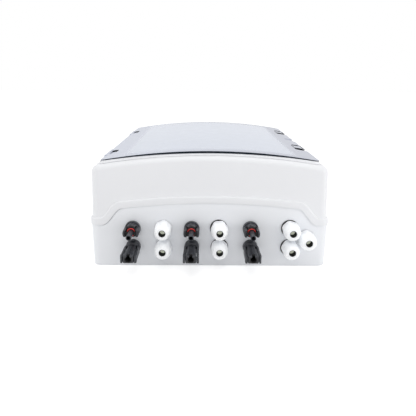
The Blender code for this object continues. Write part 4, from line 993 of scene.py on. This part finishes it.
def plug_arm(side):
    """A sprung latch arm beside the housing, with its hook at the mouth."""
    outline = [
        (6.9, 14), (6.9, 39), (7.2, 43), (7.2, 48), (6.8, 50.2), (7.1, 51), (8.6, 51), (9.3, 50.2),
        (9.6, 47), (9.5, 42), (9.2, 38), (9.1, 13.6), (8.6, 11.6), (7.6, 10.4), (4.6, 10.2), (4.6, 14),
    ]
    return extruded([(side * x * MM, depth * MM) for x, depth in outline], -4.2 * MM, 4.2 * MM)


def plug_pattern():
    """Body of a panel plug: collar, stepped housing with a hooded pin, and two latch arms."""
    collar = turned([
        (0, 0.5), (9, 0.5), (9.3, 0.8), (9.3, 7), (8.9, 8.6), (7.8, 10.2), (6, 11.2), (0, 11.2),
    ], 64)
    housing = block((-5 * MM, -4.8 * MM, 3 * MM), (5 * MM, 5.2 * MM, 51 * MM), 1.8 * MM, 4)
    cheeks = block((-6.4 * MM, -4.5 * MM, 24 * MM), (6.4 * MM, 4.7 * MM, 46 * MM), 1 * MM)
    hood = block((-6.6 * MM, -4.8 * MM, 40 * MM), (6.6 * MM, 5.2 * MM, 51 * MM), 1.8 * MM, 4)
    ridge = block((-0.9 * MM, 4.5 * MM, 9 * MM), (0.9 * MM, 5.75 * MM, 43 * MM), 0.3 * MM, 2)
    join(housing, cheeks)
    join(housing, hood)
    join(housing, ridge)
    cut(housing, turned([(0, 24), (3.6, 24), (3.6, 50.4), (3.9, 52), (0, 52)]))
    cut(housing, block((-1.9 * MM, 2 * MM, 45 * MM), (1.9 * MM, 8 * MM, 53 * MM)))
    pin = turned([(0, 22), (1.9, 22), (1.9, 37), (1.4, 38.2), (0, 38.5)])
    ribs = [block((x * MM, 3 * MM, 27 * MM), ((x + 0.6) * MM, 4.85 * MM, 39 * MM)) for x in (-5.9, 5.3)]
    outside = merged(collar, housing, pin, *ribs, plug_arm(-1), plug_arm(1))
    outside.data.transform(Matrix.Translation((0, PLUG_RISE, 0)))
    plug = finish(merged(*connector_end(), outside), BLACK_PLASTIC, BLACK_RUBBER_AND_SHADE)

    # Painted shade: faces deep in the mouth, the pin's among them, take the darker rubber black
    def in_bore(face):
        radius = math.hypot(face.center.x, face.center.y - PLUG_RISE)
        return int(face.center.z > 23 * MM and radius < 3.8 * MM)

    split_materials(plug, in_bore)
    return soften(plug, 0.25 * MM)


def make_connectors():
    socket, seal = socket_patterns()
    plug = plug_pattern()
    for index in (1, 2, 3):
        spot = entry_spot(f"pv_socket_{index}")
        place(socket, f"pv_socket_finished_{index}", spot, ROOT, "connector_black", f"pv_socket_{index}")
        place(seal, f"socket_seal_finished_{index}", spot, ROOT, "red_seal", f"socket_seal_{index}")
        spot = entry_spot(f"pv_plug_{index}")
        place(plug, f"pv_plug_finished_{index}", spot, ROOT, "connector_black", f"pv_plug_{index}")
    drop(socket, seal, plug)


# Devices


def lens_in_recess(x, y, top, half, made):
    """A recess in the top face of a device, and the lens that lies in it."""
    across, along = half
    recess = block((x - across, y - along, top - LENS_SUNK), (x + across, y + along, top + MM))
    across, along = inset(half, LENS_MARGIN)
    lens = block((x - across, y - along, top - LENS_SUNK), (x + across, y + along, top - 0.1 * MM), 0.3 * MM)
    return recess, finish(lens, made)


def make_devices():
    for index in (1, 2, 3):
        name = f"breaker_body_{index}"
        spot, top = middle_of(name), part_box(name)[1].z
        low = (spot.x - 0.25 * MM, spot.y - 60 * MM, top - 0.8 * MM)
        cuts = [block(low, (spot.x + 0.25 * MM, spot.y + 60 * MM, top + MM))]
        for side, turn in (("left", -1), ("right", 1)):
            x, y = spot.x + turn * 8.75 * MM, spot.y + 16 * MM
            recess, lens = lens_in_recess(x, y, top, (3 * MM, 1.8 * MM), GREEN_LENS)
            cuts.append(recess)
            dress(lens, f"breaker_lens_{index}_{side}", ROOT, "device_white")
        body = soften(finish(cut(copy_of(name), *cuts), DEVICE), 0.35 * MM)
        dress(body, f"breaker_finished_{index}", ROOT, "device_white", name)
        for side in ("left", "right"):
            name = f"surge_cartridge_{index}_{side}"
            spot, top = middle_of(name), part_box(name)[1].z
            cuts = []
            for line in range(4):
                y = spot.y - 17 * MM + line * 2.4 * MM
                low = (spot.x - 6 * MM, y, top - 0.8 * MM)
                cuts.append(block(low, (spot.x + 6 * MM, y + 1.1 * MM, top + MM)))
            made = RED_LENS if side == "left" else GREEN_LENS
            recess, lens = lens_in_recess(spot.x, spot.y + 13 * MM, top, (3 * MM, 2 * MM), made)
            cuts.append(recess)
            dress(lens, f"surge_lens_{index}_{side}", ROOT, "cartridge_grey")
            body = soften(finish(cut(copy_of(name), *cuts), CARTRIDGE), 0.3 * MM)
            dress(body, f"surge_cartridge_finished_{index}_{side}", ROOT, "cartridge_grey", name)


def paint_nodes():
    """Materials and softened edges of the solids that are shown as they are."""
    finishes = {
        "breaker_toggle_": TOGGLE,
        "surge_base_": DEVICE,
        "din_rail_": ZINC,
        "cover_screw_": ZINC,
        "hinge_pin_": ZINC,
        "earth_bar": BRASS,
        "cover_gasket": BLACK_RUBBER_AND_SHADE,
    }
    for name, node in NODES.items():
        for prefix, made in finishes.items():
            if name.startswith(prefix):
                node.data.materials.clear()
                node.data.materials.append(made)
                if prefix != "cover_gasket":
                    soften(node, 0.3 * MM)
        if name.startswith("string_wire_"):
            node.data.materials.clear()
            node.data.materials.append(WIRE_RED if name.endswith("plus") else WIRE_BLACK)


# Stage


def seen(nodes, links):
    """A factor of 1 for rays that draw the background and 0 for those that light the object."""
    path = nodes.new("ShaderNodeLightPath")
    total = path.outputs["Is Camera Ray"]
    for name in ("Is Glossy Ray", "Is Transmission Ray"):
        add = nodes.new("ShaderNodeMath")
        add.operation = "MAXIMUM"
        links.new(total, add.inputs[0])
        links.new(path.outputs[name], add.inputs[1])
        total = add.outputs["Value"]
    return total


def make_stage():
    floor = bpy.data.meshes.new("floor")
    reach = 6
    spots = [(-reach, -reach, 0), (reach, -reach, 0), (reach, reach, 0), (-reach, reach, 0)]
    floor.from_pydata(spots, [], [(0, 1, 2, 3)])
    ground = bpy.data.objects.new("floor", floor)
    bpy.context.scene.collection.objects.link(ground)
    made = bpy.data.materials.new("floor_white")
    made.use_nodes = True
    nodes, links = made.node_tree.nodes, made.node_tree.links
    nodes.remove(nodes["Principled BSDF"])
    dull, lit, glow = (nodes.new(kind) for kind in ("ShaderNodeBsdfDiffuse",) * 2 + ("ShaderNodeEmission",))
    dull.inputs["Color"].default_value = (0.92, 0.92, 0.92, 1)
    lit.inputs["Color"].default_value = (0.8, 0.8, 0.8, 1)
    glow.inputs["Strength"].default_value = 0.53
    add, mix = nodes.new("ShaderNodeAddShader"), nodes.new("ShaderNodeMixShader")
    links.new(lit.outputs["BSDF"], add.inputs[0])
    links.new(glow.outputs["Emission"], add.inputs[1])
    links.new(seen(nodes, links), mix.inputs["Fac"])
    links.new(dull.outputs["BSDF"], mix.inputs[1])
    links.new(add.outputs["Shader"], mix.inputs[2])
    links.new(mix.outputs["Shader"], nodes["Material Output"].inputs["Surface"])
    floor.materials.append(made)

    world = bpy.data.worlds.new("studio")
    bpy.context.scene.world = world
    world.use_nodes = True
    nodes, links = world.node_tree.nodes, world.node_tree.links
    level = nodes.new("ShaderNodeMapRange")
    level.inputs["To Min"].default_value = 0.63
    level.inputs["To Max"].default_value = 1.0
    links.new(seen(nodes, links), level.inputs["Value"])
    links.new(level.outputs["Result"], nodes["Background"].inputs["Strength"])
    nodes["Background"].inputs["Color"].default_value = (1, 1, 1, 1)


def area_light(name, location, aim, size, watts):
    data = bpy.data.lights.new(name, "AREA")
    data.shape = "RECTANGLE"
    data.size, data.size_y = size
    data.energy = watts
    lamp = bpy.data.objects.new(name, data)
    lamp.location = location
    lamp.rotation_euler = (Vector(aim) - Vector(location)).to_track_quat("-Z", "Y").to_euler()
    bpy.context.scene.collection.objects.link(lamp)


def make_camera():
    """The photo's view: a little above the entry end, almost straight at it."""
    pitch, yaw, roll = math.radians(14.46), math.radians(0.48), math.radians(0.37)
    ahead = Vector((math.sin(yaw) * math.cos(pitch), math.cos(yaw) * math.cos(pitch), -math.sin(pitch)))
    right = Vector((math.cos(yaw), -math.sin(yaw), 0))
    up = right.cross(ahead)
    right, up = right * math.cos(roll) + up * math.sin(roll), up * math.cos(roll) - right * math.sin(roll)
    data = bpy.data.cameras.new("camera")
    data.lens = 45.56
    data.sensor_width = 36
    data.clip_start = 0.01
    camera = bpy.data.objects.new("camera", data)
    turn = Matrix((right, up, -ahead)).transposed().to_4x4()
    camera.matrix_world = Matrix.Translation(Vector((-7.63, -838.06, 239.16)) * MM) @ turn
    bpy.context.scene.collection.objects.link(camera)
    bpy.context.scene.camera = camera


make_base()
make_cover()
make_door_seal()
make_door()
make_glands()
make_connectors()
make_devices()
paint_nodes()
make_stage()
area_light("overhead", (0, -0.2, 1.6), (0, 0, 0.05), (1.8, 1.8), 9.0)
area_light("front", (0, -1.4, 1.3), (0, -0.1, 0.07), (1.4, 1.0), 1.6)
area_light("left", (-1.6, -0.6, 0.5), (0, -0.1, 0.07), (1.4, 1.0), 4.6)
area_light("right", (1.5, -0.8, 0.5), (0, -0.1, 0.07), (1.0, 1.0), 6.8)
make_camera()
bpy.context.scene.view_settings.view_transform = "Standard"
